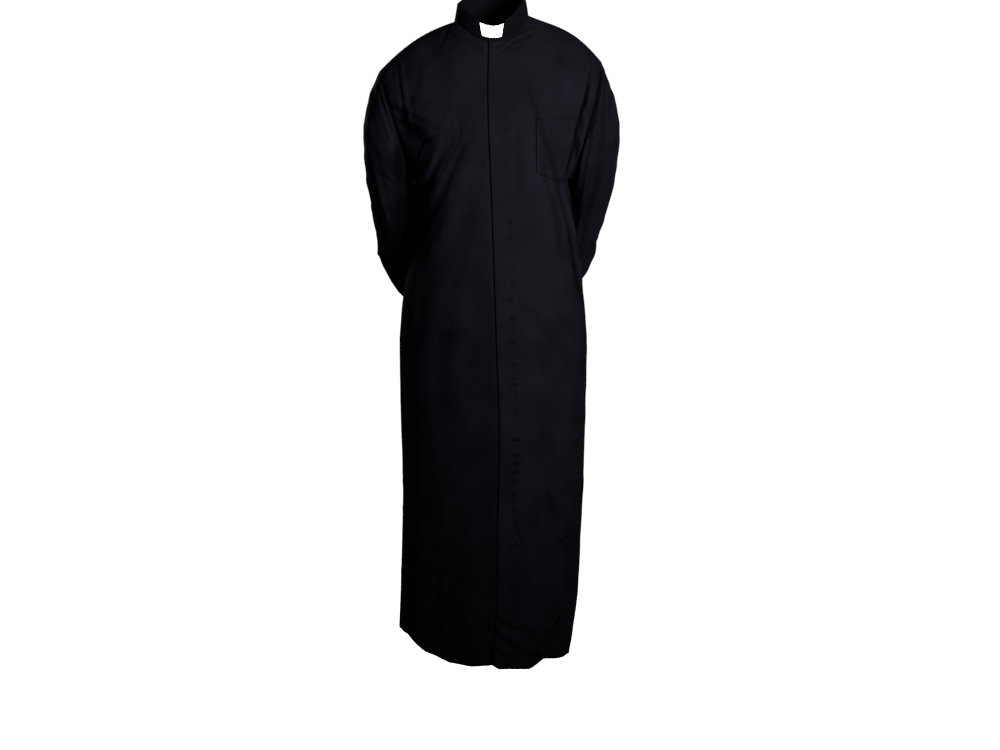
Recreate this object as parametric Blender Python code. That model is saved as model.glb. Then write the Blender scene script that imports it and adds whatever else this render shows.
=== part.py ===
"""Cassock: a long, single-breasted clerical robe in its worn, hollow form.

Frame: metres, +Z up. The front faces -Y, and the wearer's left is +X. The origin is at the
neck, level with the sides of the collar, where the wearer's neck and shoulders hold the robe.

Every piece is a thin wall between an outer and an inner grid of points. The body is a stack
of cross sections, and the sleeves are stacks of ellipses along the arms, which bend back at
the elbows so that the open cuffs come close to each other behind the waist.
"""

import bpy
import numpy as np

# ---------------------------------------------------------------- driving sizes, in metres
CLOTH = 0.0018              # wall of the body and sleeves: cloth with its seam turnings
BAND = 0.0024               # the stiffened collar band
INSERT = 0.0012             # the white collar insert
GAP = 0.0003                # between pieces that meet at a seam

# ---------------------------------------------------------------- the body's cross sections
# Nominal height, half width on the wearer's right and left, the side seam's y, the centre
# front's and centre back's y, and how sharply each side seam is pinched (1 is a round side).
SECTION_COLUMNS = ("z", "right", "left", "side", "front", "back", "pinch_right", "pinch_left")
SECTIONS = np.array([
    (-1.335, 0.198, 0.170, 0.010, -0.152, 0.148, 2.00, 1.25),
    (-1.225, 0.194, 0.187, 0.010, -0.151, 0.147, 1.75, 1.25),
    (-1.125, 0.191, 0.192, 0.010, -0.150, 0.145, 1.50, 1.25),
    (-0.995, 0.188, 0.198, 0.010, -0.149, 0.142, 1.35, 1.20),
    (-0.800, 0.192, 0.203, 0.010, -0.146, 0.134, 1.20, 1.15),
    (-0.670, 0.192, 0.204, 0.010, -0.142, 0.120, 1.10, 1.05),
    (-0.588, 0.186, 0.198, 0.008, -0.138, 0.108, 1.00, 1.00),
    (-0.540, 0.178, 0.190, 0.006, -0.135, 0.102, 0.95, 0.95),
    (-0.488, 0.162, 0.181, 0.004, -0.132, 0.100, 0.90, 0.90),
    (-0.450, 0.153, 0.176, 0.004, -0.130, 0.101, 0.80, 0.80),
    (-0.378, 0.149, 0.166, 0.008, -0.127, 0.110, 0.72, 0.72),
    (-0.338, 0.158, 0.160, 0.015, -0.125, 0.118, 0.72, 0.72),
])
ARMPIT_Z = -0.338

# Centre front and centre back above the armpits, from the chest up to the shoulder rows.
CHEST_COLUMNS = ("z", "front", "back")
CHEST = np.array([
    (-0.338, -0.125, 0.118),
    (-0.250, -0.121, 0.128),
    (-0.180, -0.112, 0.128),
    (-0.130, -0.102, 0.122),
])
YOKE_Z = {-1: -0.130, +1: -0.105}       # centre height of the row where the shoulders begin
CHEST_PINCH = 1.7                       # how flat the chest and upper back meet the armholes

# The hem: share of the half width across (-1 is the wearer's right seam), and how far the
# edge hangs below the nominal hem, in front and behind.
HEM_COLUMNS = ("across", "front_drop", "back_drop")
HEM = np.array([
    (-1.00, -0.043, -0.043),
    (-0.90, -0.036, -0.030),
    (-0.72, -0.008, -0.012),
    (-0.50, 0.005, -0.004),
    (-0.04, 0.000, 0.000),
    (0.02, 0.008, 0.000),
    (0.40, 0.012, 0.004),
    (0.62, 0.001, 0.008),
    (0.94, 0.012, 0.014),
    (1.00, 0.020, 0.020),
])

# ---------------------------------------------------------------- neck, shoulders, collar
NECK_HALF_WIDTH = 0.0765
NECK_FRONT_Y = -0.083
NECK_BACK_Y = 0.062
NECK_SIDE_Z = {-1: -0.012, +1: 0.002}  # the wearer's right side hangs lower
NECK_FRONT_Z = -0.056
NECK_BACK_Z = 0.022
NECK_SHARE = 0.42           # share of each half front and half back that ends at the neck
COLLAR_HEIGHT = 0.037
COLLAR_LEAN = 0.17          # how far the band leans in, as a share of its height
COLLAR_SPLIT_X = -0.006     # where the band's two ends meet at the front
COLLAR_SPLIT = 0.002        # half the gap between them, in radians
NOTCH_STRIP = 0.006         # height of the band where it runs on below the notch
NOTCH_CENTRE = -0.003
NOTCH_HALF_BOTTOM = 0.0205
NOTCH_HALF_TOP = 0.0285
INSERT_HALF_WIDTH = 0.034
INSERT_LOW = 0.0075
INSERT_HIGH = 0.0315

# ---------------------------------------------------------------- the concealed fly
# Height, and the x of the folded edge, which sways as the robe hangs.
FLY_COLUMNS = ("z", "edge")
FLY = np.array([
    (-1.345, -0.0086),
    (-1.200, 0.0020),
    (-1.000, 0.0040),
    (-0.883, 0.0074),
    (-0.668, 0.0020),
    (-0.530, -0.0020),
    (-0.375, -0.0068),
    (-0.154, -0.0130),
    (-0.060, -0.0100),
])
PLACKET_WIDTH = 0.0335
PLACKET_RISE = 0.0008       # the placket's layers stand a little proud of the front
UNDERLAP_STEP = 0.0040      # how far the right front sinks below the placket
UNDERLAP_MARKS = (0.0295, 0.0150, -0.0010, -0.0160)     # its columns, left of the folded edge

# ---------------------------------------------------------------- the chest pocket
POCKET_INNER_X = 0.0835     # the edge toward the fly
POCKET_OUTER_X = (0.166, 0.156)         # the edge toward the sleeve, at the top and bottom
POCKET_TOP_Z = -0.210
POCKET_SIDE = 0.110         # length of the straight side
POCKET_POINT = 0.020        # how far the point hangs below the sides
POCKET_HEM = 0.024          # depth of the turned top hem
POCKET_WALL = 0.0012
POCKET_HEM_RISE = 0.0009
POCKET_LIFT = 0.0013        # the pocket's stand-off from the front's points

# ---------------------------------------------------------------- the sleeves
# Wearer's left sleeve: centre of each elliptical section, half width across the arm's outer
# and inner side, half depth from front to back, the drop of the outer side below level, and
# how far the inner side of the right and of the left sleeve is drawn in toward the body.
SLEEVE_COLUMNS = ("x", "y", "z", "half_width", "half_depth", "drop", "inward_right", "inward_left")
SLEEVE = np.array([
    (0.1955, 0.010, -0.2180, 0.1225, 0.070, -73.0, 0.000, 0.000),
    (0.2070, 0.011, -0.2420, 0.1040, 0.070, -66.0, 0.000, 0.000),
    (0.2125, 0.014, -0.2710, 0.0860, 0.070, -56.0, 0.000, 0.000),
    (0.2120, 0.021, -0.3020, 0.0670, 0.068, -42.0, 0.000, 0.000),
    (0.2105, 0.033, -0.3360, 0.0535, 0.066, -24.0, 0.000, -0.003),
    (0.2060, 0.052, -0.3760, 0.0460, 0.064, -4.0, 0.007, -0.009),
    (0.1965, 0.084, -0.4260, 0.0470, 0.061, 12.0, 0.017, -0.009),
    (0.1870, 0.120, -0.4760, 0.0480, 0.056, 25.0, 0.018, -0.003),
    (0.1690, 0.148, -0.5230, 0.0510, 0.052, 37.0, 0.009, 0.000),
    (0.1400, 0.167, -0.5610, 0.0510, 0.049, 46.0, 0.000, 0.000),
    (0.1000, 0.179, -0.5890, 0.0470, 0.045, 50.0, 0.000, 0.000),
    (0.0590, 0.187, -0.6100, 0.0430, 0.042, 52.0, 0.000, 0.000),
])
INWARD = {-1: "inward_right", +1: "inward_left"}
INWARD_TURN = {-1: 0.50, +1: 0.0}        # where the inner side is drawn in most, toward the back
ARM_DIRECTION = np.array([0.957, 0.0, -0.289])      # square to the armhole
ARMHOLE_BOW = 0.007         # the armhole bows outward at its front and back
SHOULDER_DROP = {-1: 0.012, +1: -0.009}  # the wearer's right shoulder hangs lower
SHOULDER_RISE = {-1: 0.0155, +1: 0.019}  # how far each shoulder seam arches up
SHOULDER_SKEW = {-1: 1.05, +1: 1.35}     # over 1 moves the arch's top toward the armhole

# ---------------------------------------------------------------- the largest folds
# A fold is a soft ridge (height > 0) or trough along a line from (x0, z0) to (x1, z1), with
# its half width across, and its height at its start and at its end.
FOLD_COLUMNS = ("x0", "z0", "x1", "z1", "half_width", "start", "end")
FRONT_FOLDS = np.array([
    (0.070, -0.330, 0.118, -0.600, 0.024, 0.002, 0.006),
    (-0.062, -0.300, -0.128, -0.470, 0.022, 0.006, 0.003),
    (-0.150, -0.640, -0.165, -1.330, 0.022, 0.001, 0.007),
    (-0.088, -0.560, -0.100, -1.360, 0.026, 0.003, -0.006),
    (-0.045, -0.800, -0.050, -1.360, 0.022, 0.000, 0.005),
    (0.060, -0.760, 0.066, -1.370, 0.024, 0.000, 0.007),
    (0.100, -0.700, 0.104, -1.370, 0.020, 0.000, -0.005),
    (0.142, -0.620, 0.140, -1.370, 0.022, 0.004, 0.005),
    (-0.150, -0.120, -0.118, -0.330, 0.022, 0.004, 0.003),
    (0.150, -0.110, 0.140, -0.260, 0.022, 0.004, 0.004),
])
BACK_FOLDS = np.array([
    (0.085, -0.230, 0.030, -0.470, 0.024, 0.004, 0.006),
    (-0.092, -0.220, -0.040, -0.450, 0.024, 0.005, 0.005),
    (0.120, -0.600, 0.128, -1.350, 0.024, 0.003, 0.007),
    (0.070, -0.640, 0.076, -1.350, 0.024, 0.000, -0.006),
    (0.016, -0.600, 0.014, -1.350, 0.026, 0.003, 0.008),
    (-0.048, -0.660, -0.052, -1.350, 0.024, 0.000, -0.006),
    (-0.105, -0.600, -0.116, -1.350, 0.024, 0.003, 0.007),
])
# On a sleeve: place along it (0 is the armhole, 1 the cuff) and angle round it (0 is the
# outer side, 90 the front) at the ridge's two ends, half width, and height.
SLEEVE_FOLD_COLUMNS = ("along0", "angle0", "along1", "angle1", "half_width", "height")
SLEEVE_FOLDS = np.array([
    (0.10, 62.0, 0.48, 96.0, 0.019, 0.005),
    (0.16, 20.0, 0.55, 40.0, 0.020, 0.005),
    (0.12, -50.0, 0.50, -84.0, 0.020, 0.005),
    (0.52, -150.0, 0.66, 20.0, 0.016, 0.004),
    (0.62, 190.0, 0.76, 60.0, 0.016, -0.004),
    (0.72, -120.0, 0.90, 30.0, 0.017, 0.004),
])

COLOURS = {
    "black cloth": (0.0055, 0.0058, 0.0075, 1.0),
    "white insert": (0.86, 0.86, 0.84, 1.0),
}


def column(table, names, name):
    """One named column of a table."""
    return table[:, names.index(name)]


def smooth(positions, values, at):
    """Cubic curve through the values at rising or falling positions, read at `at`."""
    order = np.argsort(positions)
    knots = np.asarray(positions)[order]
    levels = np.asarray(values)[order]
    slopes = np.gradient(levels, knots)
    at = np.clip(at, knots[0], knots[-1])
    span = np.clip(np.searchsorted(knots, at) - 1, 0, len(knots) - 2)
    width = knots[span + 1] - knots[span]
    t = (at - knots[span]) / width
    start = (1 + 2 * t) * (1 - t) ** 2 * levels[span] + t * (1 - t) ** 2 * width * slopes[span]
    end = t * t * (3 - 2 * t) * levels[span + 1] - t * t * (1 - t) * width * slopes[span + 1]
    return start + end


def mix(a, b, share):
    """The value a share of the way from a to b."""
    return a + (b - a) * share


def unit(vectors):
    """Vectors scaled to length one."""
    return vectors / np.maximum(np.linalg.norm(vectors, axis=-1, keepdims=True), 1e-12)


def stack(x, y, z):
    """Points from three arrays of coordinates."""
    return np.stack(np.broadcast_arrays(x, y, z), axis=-1)


# ---------------------------------------------------------------- the sleeve's surface

def sleeve_station(along):
    """Centre, outward vector and forward vector of the sleeve's section at each place along."""
    at = along * (len(SLEEVE) - 1)
    stations = np.arange(len(SLEEVE))

    def read(name, where):
        return smooth(stations, column(SLEEVE, SLEEVE_COLUMNS, name), where)

    def centre_at(where):
        return stack(read("x", where), read("y", where), read("z", where))

    step = 0.02
    centre = centre_at(at)
    ahead = unit(centre_at(np.minimum(at + step, stations[-1])) - centre_at(np.maximum(at - step, 0)))
    drop = np.radians(read("drop", at))
    outward = stack(np.cos(drop), 0 * drop, -np.sin(drop))
    leaving = np.clip(at, 0, 1)[..., None]
    ahead = unit(mix(ARM_DIRECTION, ahead, leaving))
    square = np.clip((at - 4) / 3, 0, 1)[..., None]
    outward = unit(outward - square * np.sum(outward * ahead, -1, keepdims=True) * ahead)
    forward = unit(np.cross(ahead, outward))
    outward = outward * read("half_width", at)[..., None]
    forward = forward * read("half_depth", at)[..., None]
    return centre, outward, forward


def sleeve_surface(along, angle, side, folds=True):
    """Point at a place along the sleeve and an angle round it: an ellipse on each section."""
    centre, outward, forward = sleeve_station(along)
    points = centre + outward * np.cos(angle)[..., None] + forward * np.sin(angle)[..., None]
    bow = ARMHOLE_BOW * np.sin(angle) ** 2 * np.clip(1 - along / 0.12, 0, 1)
    points[..., 0] += bow
    drawn_in = smooth(np.arange(len(SLEEVE)), column(SLEEVE, SLEEVE_COLUMNS, INWARD[side]),
                      along * (len(SLEEVE) - 1))
    inner_share = np.clip(-np.cos(angle - INWARD_TURN[side]), 0, 1)
    points = points - unit(outward) * (drawn_in * inner_share)[..., None]
    drop = SHOULDER_DROP[side] * (1 + np.cos(angle)) / 2
    points[..., 2] -= drop * np.clip(1 - along / 0.45, 0, 1)
    if folds:
        half_girth = 0.5 * (np.linalg.norm(outward, axis=-1) + np.linalg.norm(forward, axis=-1))
        radial = unit(points - centre)
        relief = sleeve_relief(along, np.degrees(angle) * side, half_girth)
        points = points + radial * relief[..., None]
    points[..., 0] *= side
    return points


def sleeve_relief(along, degrees, radius):
    """Height of the sleeve's ridges, each a bell across its line and faded at both ends."""
    relief = np.zeros(np.broadcast(along, degrees).shape)
    for row in SLEEVE_FOLDS:
        fold = dict(zip(SLEEVE_FOLD_COLUMNS, row))
        t = np.clip((along - fold["along0"]) / (fold["along1"] - fold["along0"]), 0, 1)
        line = mix(fold["angle0"], fold["angle1"], t)
        off = np.radians((degrees - line + 180) % 360 - 180) * radius
        beyond = (along - mix(fold["along0"], fold["along1"], t)) / 0.05
        relief = relief + fold["height"] * np.exp(-(off / fold["half_width"]) ** 2 - beyond ** 2)
    return relief * np.clip(along / 0.10, 0, 1) * np.clip((1 - along) / 0.06, 0, 1)


def armhole(angle, side):
    """The armhole's edge: the sleeve's first section."""
    return sleeve_surface(np.zeros_like(angle), angle, side, folds=False)


def armhole_frame(angle, side):
    """At each angle round the armhole, the direction out of it and the arm's direction."""
    centre, outward, forward = sleeve_station(np.zeros_like(angle))
    centre[..., 0] *= side
    away = unit(armhole(angle, side) - centre)
    arm = np.broadcast_to(ARM_DIRECTION * np.array([side, 1, 1]), away.shape)
    return away, arm


# ---------------------------------------------------------------- the body's surface

ARMPIT_V = 0.62             # shares of the surface's length where the armpit and yoke rows lie
YOKE_V = 0.84
YOKE_ANGLE = np.radians(58.0)            # where the yoke row meets the armhole, from its top
SHOULDER_BEND = np.array([0.5, 0.30, 0.72])     # the parabola's middle point, as shares in x, y, z
AT_EDGE = 0.9999            # a share past this is on the edge itself


def neck_edge(turn):
    """The neckline at a turn from the centre front: half an oval, lower in front."""
    middle = (NECK_FRONT_Y + NECK_BACK_Y) / 2
    depth = (NECK_BACK_Y - NECK_FRONT_Y) / 2
    side_z = np.where(np.sin(turn) < 0, NECK_SIDE_Z[-1], NECK_SIDE_Z[1])
    front = mix(NECK_FRONT_Z, side_z, np.sin(turn) ** 2)
    back = mix(NECK_BACK_Z, side_z, np.sin(turn) ** 2)
    z = np.where(np.cos(turn) > 0, front, back)
    return stack(NECK_HALF_WIDTH * np.sin(turn), middle - depth * np.cos(turn), z)


def shoulder_row(u, face):
    """The top edge of a front (face -1) or back (face +1): neckline, then shoulder seam."""
    side = np.where(u < 0, -1, 1)
    share = np.abs(u)
    turn = np.clip(share / NECK_SHARE, 0, 1) * np.pi / 2
    turn = side * (turn if face < 0 else np.pi - turn)
    neck = neck_edge(turn)
    corner = neck_edge(side * np.pi / 2)
    zero = np.zeros_like(u)
    tip = np.where(side[..., None] < 0, armhole(zero, -1), armhole(zero, 1))
    t = np.clip((share - NECK_SHARE) / (1 - NECK_SHARE), 0, 1)[..., None]
    seam = mix(corner, tip, t)
    rise = np.where(side < 0, SHOULDER_RISE[-1], SHOULDER_RISE[1])
    skew = np.where(side < 0, SHOULDER_SKEW[-1], SHOULDER_SKEW[1])
    seam[..., 2] += rise * np.maximum(np.sin(np.pi * t[..., 0] ** skew), 0) ** 0.9
    return np.where((share < NECK_SHARE)[..., None], neck, seam)


def section_row(u, z, side_x, side_y, side_z, centre_y, pinch):
    """Half an oval from the centre line to a side, flattened toward the side by its pinch."""
    angle = np.clip(np.abs(u), 0, 1) * np.pi / 2
    across = np.sin(angle)
    x = np.sign(u) * side_x * across
    y = side_y + (centre_y - side_y) * np.maximum(np.cos(angle), 0) ** pinch
    return stack(x, y, z + (side_z - z) * across ** 2)


def skirt_rows(u, v, face):
    """The body below the armpits."""
    nominal = mix(SECTIONS[0, 0], ARMPIT_Z, v / ARMPIT_V)
    levels = column(SECTIONS, SECTION_COLUMNS, "z")

    def read(name):
        return smooth(levels, column(SECTIONS, SECTION_COLUMNS, name), nominal)

    half = np.where(u < 0, read("right"), read("left"))
    pinch = np.where(u < 0, read("pinch_right"), read("pinch_left"))
    drop_name = "front_drop" if face < 0 else "back_drop"
    across = np.sign(u) * np.sin(np.abs(u) * np.pi / 2)
    drop = np.interp(across, column(HEM, HEM_COLUMNS, "across"), column(HEM, HEM_COLUMNS, drop_name))
    z = nominal - drop * np.clip(1 - v / 0.30, 0, 1) ** 2
    points = section_row(u, z, half, read("side"), z, read("front" if face < 0 else "back"), pinch)
    points[..., 2] = z
    return points


def chest_rows(u, v, face):
    """The body from the armpits to the yoke, whose sides run up the armholes."""
    w = np.clip((v - ARMPIT_V) / (YOKE_V - ARMPIT_V), 0, 1)
    angle = mix(np.pi, YOKE_ANGLE, w)
    right = armhole(angle * -face, -1)
    left = armhole(angle * -face, 1)
    edge = np.where((u < 0)[..., None], right, left)
    z = mix(ARMPIT_Z, YOKE_Z[face], w)
    centre_y = smooth(column(CHEST, CHEST_COLUMNS, "z"),
                      column(CHEST, CHEST_COLUMNS, "front" if face < 0 else "back"), z)
    flatter = np.clip(w / 0.75, 0, 1)
    pinch = mix(SECTIONS[-1, -1], CHEST_PINCH, flatter ** 2 * (3 - 2 * flatter))
    return section_row(u, z, np.abs(edge[..., 0]), edge[..., 1], edge[..., 2], centre_y, pinch)


def shoulder_curve(u, v, face):
    """A parabola in v from the yoke row to the top edge, which rises first and then turns in."""
    t = np.clip((v - YOKE_V) / (1 - YOKE_V), 0, 1)[..., None]
    start = chest_rows(u, np.full_like(v, YOKE_V), face)
    end = shoulder_row(u, face)
    bend = mix(start, end, SHOULDER_BEND)
    return (1 - t) ** 2 * start + 2 * t * (1 - t) * bend + t ** 2 * end


def yoke_rows(u, v, face):
    """The body over the shoulder, drawn to the armhole's edge toward each side."""
    w = np.clip((v - YOKE_V) / (1 - YOKE_V), 0, 1)
    angle = YOKE_ANGLE * (1 - w) * -face
    edge = np.where((u < 0)[..., None], armhole(angle, -1), armhole(angle, 1))
    pull = edge - shoulder_curve(np.sign(u), v, face)
    return shoulder_curve(u, v, face) + pull * (np.abs(u) ** 4)[..., None]


def smooth_body(u, v, face):
    """The body's outer surface without folds, on shares u across and v up."""
    u, v = np.broadcast_arrays(np.asarray(u, float), np.asarray(v, float))
    below = skirt_rows(u, np.minimum(v, ARMPIT_V), face)
    chest = chest_rows(u, v, face)
    yoke = yoke_rows(u, v, face)
    points = np.where((v < ARMPIT_V)[..., None], below, chest)
    return np.where((v > YOKE_V)[..., None], yoke, points)


def body_normal(u, v, face):
    """Outward direction of the body's surface, from its slopes across and up."""
    step = 0.004
    across = smooth_body(np.minimum(u + step, 1), v, face) - smooth_body(np.maximum(u - step, -1), v, face)
    up = smooth_body(u, np.minimum(v + step, 1), face) - smooth_body(u, np.maximum(v - step, 0), face)
    return unit(np.cross(across, up)) * -face


def line_relief(x, z, folds):
    """Height of the folds at a place on the front or back, faded beyond each fold's ends."""
    relief = np.zeros_like(x)
    for row in folds:
        fold = dict(zip(FOLD_COLUMNS, row))
        dx = fold["x1"] - fold["x0"]
        dz = fold["z1"] - fold["z0"]
        run = np.hypot(dx, dz)
        along = ((x - fold["x0"]) * dx + (z - fold["z0"]) * dz) / run
        off = ((x - fold["x0"]) * dz - (z - fold["z0"]) * dx) / run
        height = mix(fold["start"], fold["end"], np.clip(along / run, 0, 1))
        beyond = np.minimum(along, 0) / 0.06 + np.maximum(along - run, 0) / 0.05
        relief = relief + height * np.exp(-(off / fold["half_width"]) ** 2 - beyond ** 2)
    return relief


def body_surface(u, v, face):
    """Outer points and outward directions of the body, with its largest folds."""
    u, v = np.broadcast_arrays(np.asarray(u, float), np.asarray(v, float))
    plain = smooth_body(u, v, face)
    normal = body_normal(u, v, face)
    folds = FRONT_FOLDS if face < 0 else BACK_FOLDS
    calm = (1 - np.abs(u) ** 6) * np.clip((1 - v) / 0.08, 0, 1)
    relief = line_relief(plain[..., 0], plain[..., 2], folds) * calm
    return plain + normal * relief[..., None], normal


def locate(x, z):
    """The shares (u, v) where the front passes a given x and z, by repeated steps."""
    u = np.clip(x / 0.3, -0.9, 0.9)
    v = np.clip((z - SECTIONS[0, 0]) / (NECK_FRONT_Z - SECTIONS[0, 0]), 0.01, 0.98)
    step = 0.002
    for _ in range(24):
        here = smooth_body(u, v, -1)
        slope_u = (smooth_body(u + step, v, -1) - here)[..., 0] / step
        slope_v = (smooth_body(u, v + step, -1) - here)[..., 2] / step
        u = np.clip(u + 0.8 * (x - here[..., 0]) / slope_u, -0.99, 0.99)
        v = np.clip(v + 0.8 * (z - here[..., 2]) / slope_v, 0.0, 0.995)
    return u, v


def across_at(offset, v):
    """The share u, at each v, of the line that lies `offset` to the left of the fly's edge."""
    u = np.zeros_like(v)
    for _ in range(20):
        here = smooth_body(u, v, -1)
        edge = smooth(column(FLY, FLY_COLUMNS, "z"), column(FLY, FLY_COLUMNS, "edge"), here[..., 2])
        slope = (smooth_body(u + 0.002, v, -1) - here)[..., 0] / 0.002
        u = u + (edge + offset - here[..., 0]) / slope
    return u


# ---------------------------------------------------------------- walls from grids

def wall_object(name, outer, inner, material, closed=False):
    """A closed wall between two grids of points; `closed` joins the last column to the first."""
    rows, columns = outer.shape[:2]
    spans = columns if closed else columns - 1
    points = np.concatenate([outer.reshape(-1, 3), inner.reshape(-1, 3)])
    back = rows * columns
    faces = []

    def quad(a, b, c, d):
        faces.append((a, b, c, d))

    for row in range(rows - 1):
        for here in range(spans):
            after = (here + 1) % columns
            a, b = row * columns + here, row * columns + after
            c, d = a + columns, b + columns
            quad(a, b, d, c)
            quad(back + b, back + a, back + c, back + d)
    for here in range(spans):
        after = (here + 1) % columns
        top = (rows - 1) * columns
        quad(after, here, back + here, back + after)
        quad(top + here, top + after, back + top + after, back + top + here)
    if not closed:
        for row in range(rows - 1):
            a, c = row * columns, (row + 1) * columns
            b, d = a + columns - 1, c + columns - 1
            quad(a, c, back + c, back + a)
            quad(d, b, back + b, back + d)
    if signed_volume(points, faces) < 0:
        faces = [face[::-1] for face in faces]
    mesh = bpy.data.meshes.new(name)
    mesh.from_pydata(points.tolist(), [], faces)
    mesh.validate()
    mesh.shade_smooth()
    mesh.set_sharp_from_angle(angle=np.radians(50))
    mesh.materials.append(material)
    piece = bpy.data.objects.new(name, mesh)
    robe.objects.link(piece)
    return piece


def signed_volume(points, faces):
    """Six times the volume inside a closed mesh, positive when its faces point out."""
    index = np.array(faces)
    a, b, c, d = (points[index[:, k]] for k in range(4))
    return np.sum(np.sum(a * np.cross(b, c), -1) + np.sum(a * np.cross(c, d), -1))


def make_material(name, roughness):
    """A Principled BSDF with the named colour."""
    material = bpy.data.materials.new(name)
    material.use_nodes = True
    shader = material.node_tree.nodes["Principled BSDF"]
    shader.inputs["Base Color"].default_value = COLOURS[name]
    shader.inputs["Roughness"].default_value = roughness
    shader.inputs["Metallic"].default_value = 0.0
    return material


# ---------------------------------------------------------------- rows and columns

SKIRT_ROWS = 17
CHEST_ROWS = 8
YOKE_ROWS = 6
HALF_COLUMNS = 9
NECK_COLUMNS = 6
SLEEVE_ROWS = 24


def row_shares():
    """Shares v up the body, with a row at the armpit and one at the yoke."""
    skirt = np.linspace(0, ARMPIT_V, SKIRT_ROWS)
    chest = np.linspace(ARMPIT_V, YOKE_V, CHEST_ROWS)
    yoke = np.linspace(YOKE_V, 1, YOKE_ROWS)
    return np.concatenate([skirt, chest[1:], yoke[1:]])


def armhole_angles():
    """Angles once round the armhole where the panels' rows end, which the sleeve shares."""
    yoke = np.linspace(0, YOKE_ANGLE, YOKE_ROWS)
    chest = np.linspace(YOKE_ANGLE, np.pi, CHEST_ROWS)
    half = np.concatenate([yoke, chest[1:]])
    return np.concatenate([half, 2 * np.pi - half[-2:0:-1]])


def half_shares():
    """Shares u from the centre to a side, with a column at the neck's corner."""
    neck = np.linspace(0, NECK_SHARE, NECK_COLUMNS)
    return np.concatenate([neck, np.linspace(NECK_SHARE, 1, HALF_COLUMNS)[1:]])


def panel(u, v, face, rise=0.0):
    """Outer and inner grids of a panel, with the rims that its seams share.

    At a side seam the rim points sideways, at an armhole out of the armhole's middle, and
    along the shoulder up, so that two pieces that meet have parallel rims GAP apart.
    """
    outer, normal = body_surface(u, v, face)
    outer = outer + normal * np.broadcast_to(rise, u.shape)[..., None]
    at_side = np.abs(u) > AT_EDGE
    sign = np.sign(u)
    low = at_side & (v < ARMPIT_V)
    normal = np.where(low[..., None], stack(sign, 0 * u, 0 * u), normal)
    shift = np.where(low[..., None], stack(0 * u, face * GAP / 2 + 0 * u, 0 * u), 0.0)
    w_chest = np.clip((v - ARMPIT_V) / (YOKE_V - ARMPIT_V), 0, 1)
    w_yoke = np.clip((v - YOKE_V) / (1 - YOKE_V), 0, 1)
    angle = np.where(v > YOKE_V, YOKE_ANGLE * (1 - w_yoke), mix(np.pi, YOKE_ANGLE, w_chest)) * -face
    high = at_side & (v >= ARMPIT_V)
    for side in (-1, 1):
        away, arm = armhole_frame(angle, side)
        chosen = (high & (sign == side))[..., None]
        normal = np.where(chosen, away, normal)
        shift = np.where(chosen, -arm * GAP / 2 + stack(0 * u, face * GAP / 4, 0 * u), shift)
    on_top = (v > AT_EDGE) & (np.abs(u) >= NECK_SHARE) & ~at_side
    upward = unit(stack(0.5 * sign, 0 * u, 0.86 + 0 * u))
    normal = np.where(on_top[..., None], upward, normal)
    shift = np.where(on_top[..., None], stack(0 * u, face * GAP / 2 + 0 * u, 0 * u), shift)
    return outer + shift, outer + shift - unit(normal) * CLOTH


# ---------------------------------------------------------------- the pieces

def make_back():
    """The back: one piece from side seam to side seam."""
    half = half_shares()
    u, v = np.meshgrid(np.concatenate([-half[::-1], half[1:]]), row_shares())
    outer, inner = panel(u, v, +1)
    return wall_object("back", outer, inner, cloth)


def front_grid(start, v, side):
    """Shares u for a front: from `start`, one for each row, through the neck's corner to a side."""
    half = half_shares()[1:]
    neck = (half[:NECK_COLUMNS - 1] / NECK_SHARE)[None, :]
    shares = np.concatenate([[[0.0]], neck], axis=1)
    inner_part = mix(start[:, None], side * NECK_SHARE, shares)
    outer_part = np.broadcast_to(side * half[NECK_COLUMNS - 1:], (len(v), HALF_COLUMNS - 1))
    u = np.concatenate([inner_part, outer_part], axis=1)
    return u, np.broadcast_to(v[:, None], u.shape)


def make_front_left():
    """The wearer's left front, from the placket's stitch line to the side."""
    v = row_shares()
    u, v = front_grid(across_at(PLACKET_WIDTH + GAP / 2, v), v, +1)
    outer, inner = panel(u, v, -1)
    return wall_object("front_left", outer, inner, cloth)


def make_front_right():
    """The wearer's right front, which sinks and runs on under the placket."""
    v = row_shares()
    under = np.stack([across_at(offset, v) for offset in UNDERLAP_MARKS], axis=1)
    rest, _ = front_grid(under[:, -1], v, -1)
    u = np.concatenate([under[:, :-1], rest], axis=1)
    v = np.broadcast_to(v[:, None], u.shape)
    rise = np.zeros(u.shape)
    rise[:, :3] = -UNDERLAP_STEP
    outer, inner = panel(u, v, -1, rise)
    return wall_object("front_right", outer, inner, cloth)


def make_placket():
    """The fly placket: the strip over the fastening, from its folded edge to its stitching."""
    v = row_shares()
    offsets = np.array([0.0, 0.5, 1.0]) * (PLACKET_WIDTH - GAP / 2)
    u = np.stack([across_at(offset, v) for offset in offsets], axis=1)
    v = np.broadcast_to(v[:, None], u.shape)
    rise = np.broadcast_to([PLACKET_RISE, PLACKET_RISE, 0.0], u.shape)
    outer, inner = panel(u, v, -1, rise)
    return wall_object("fly_placket", outer, inner, cloth)


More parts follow.
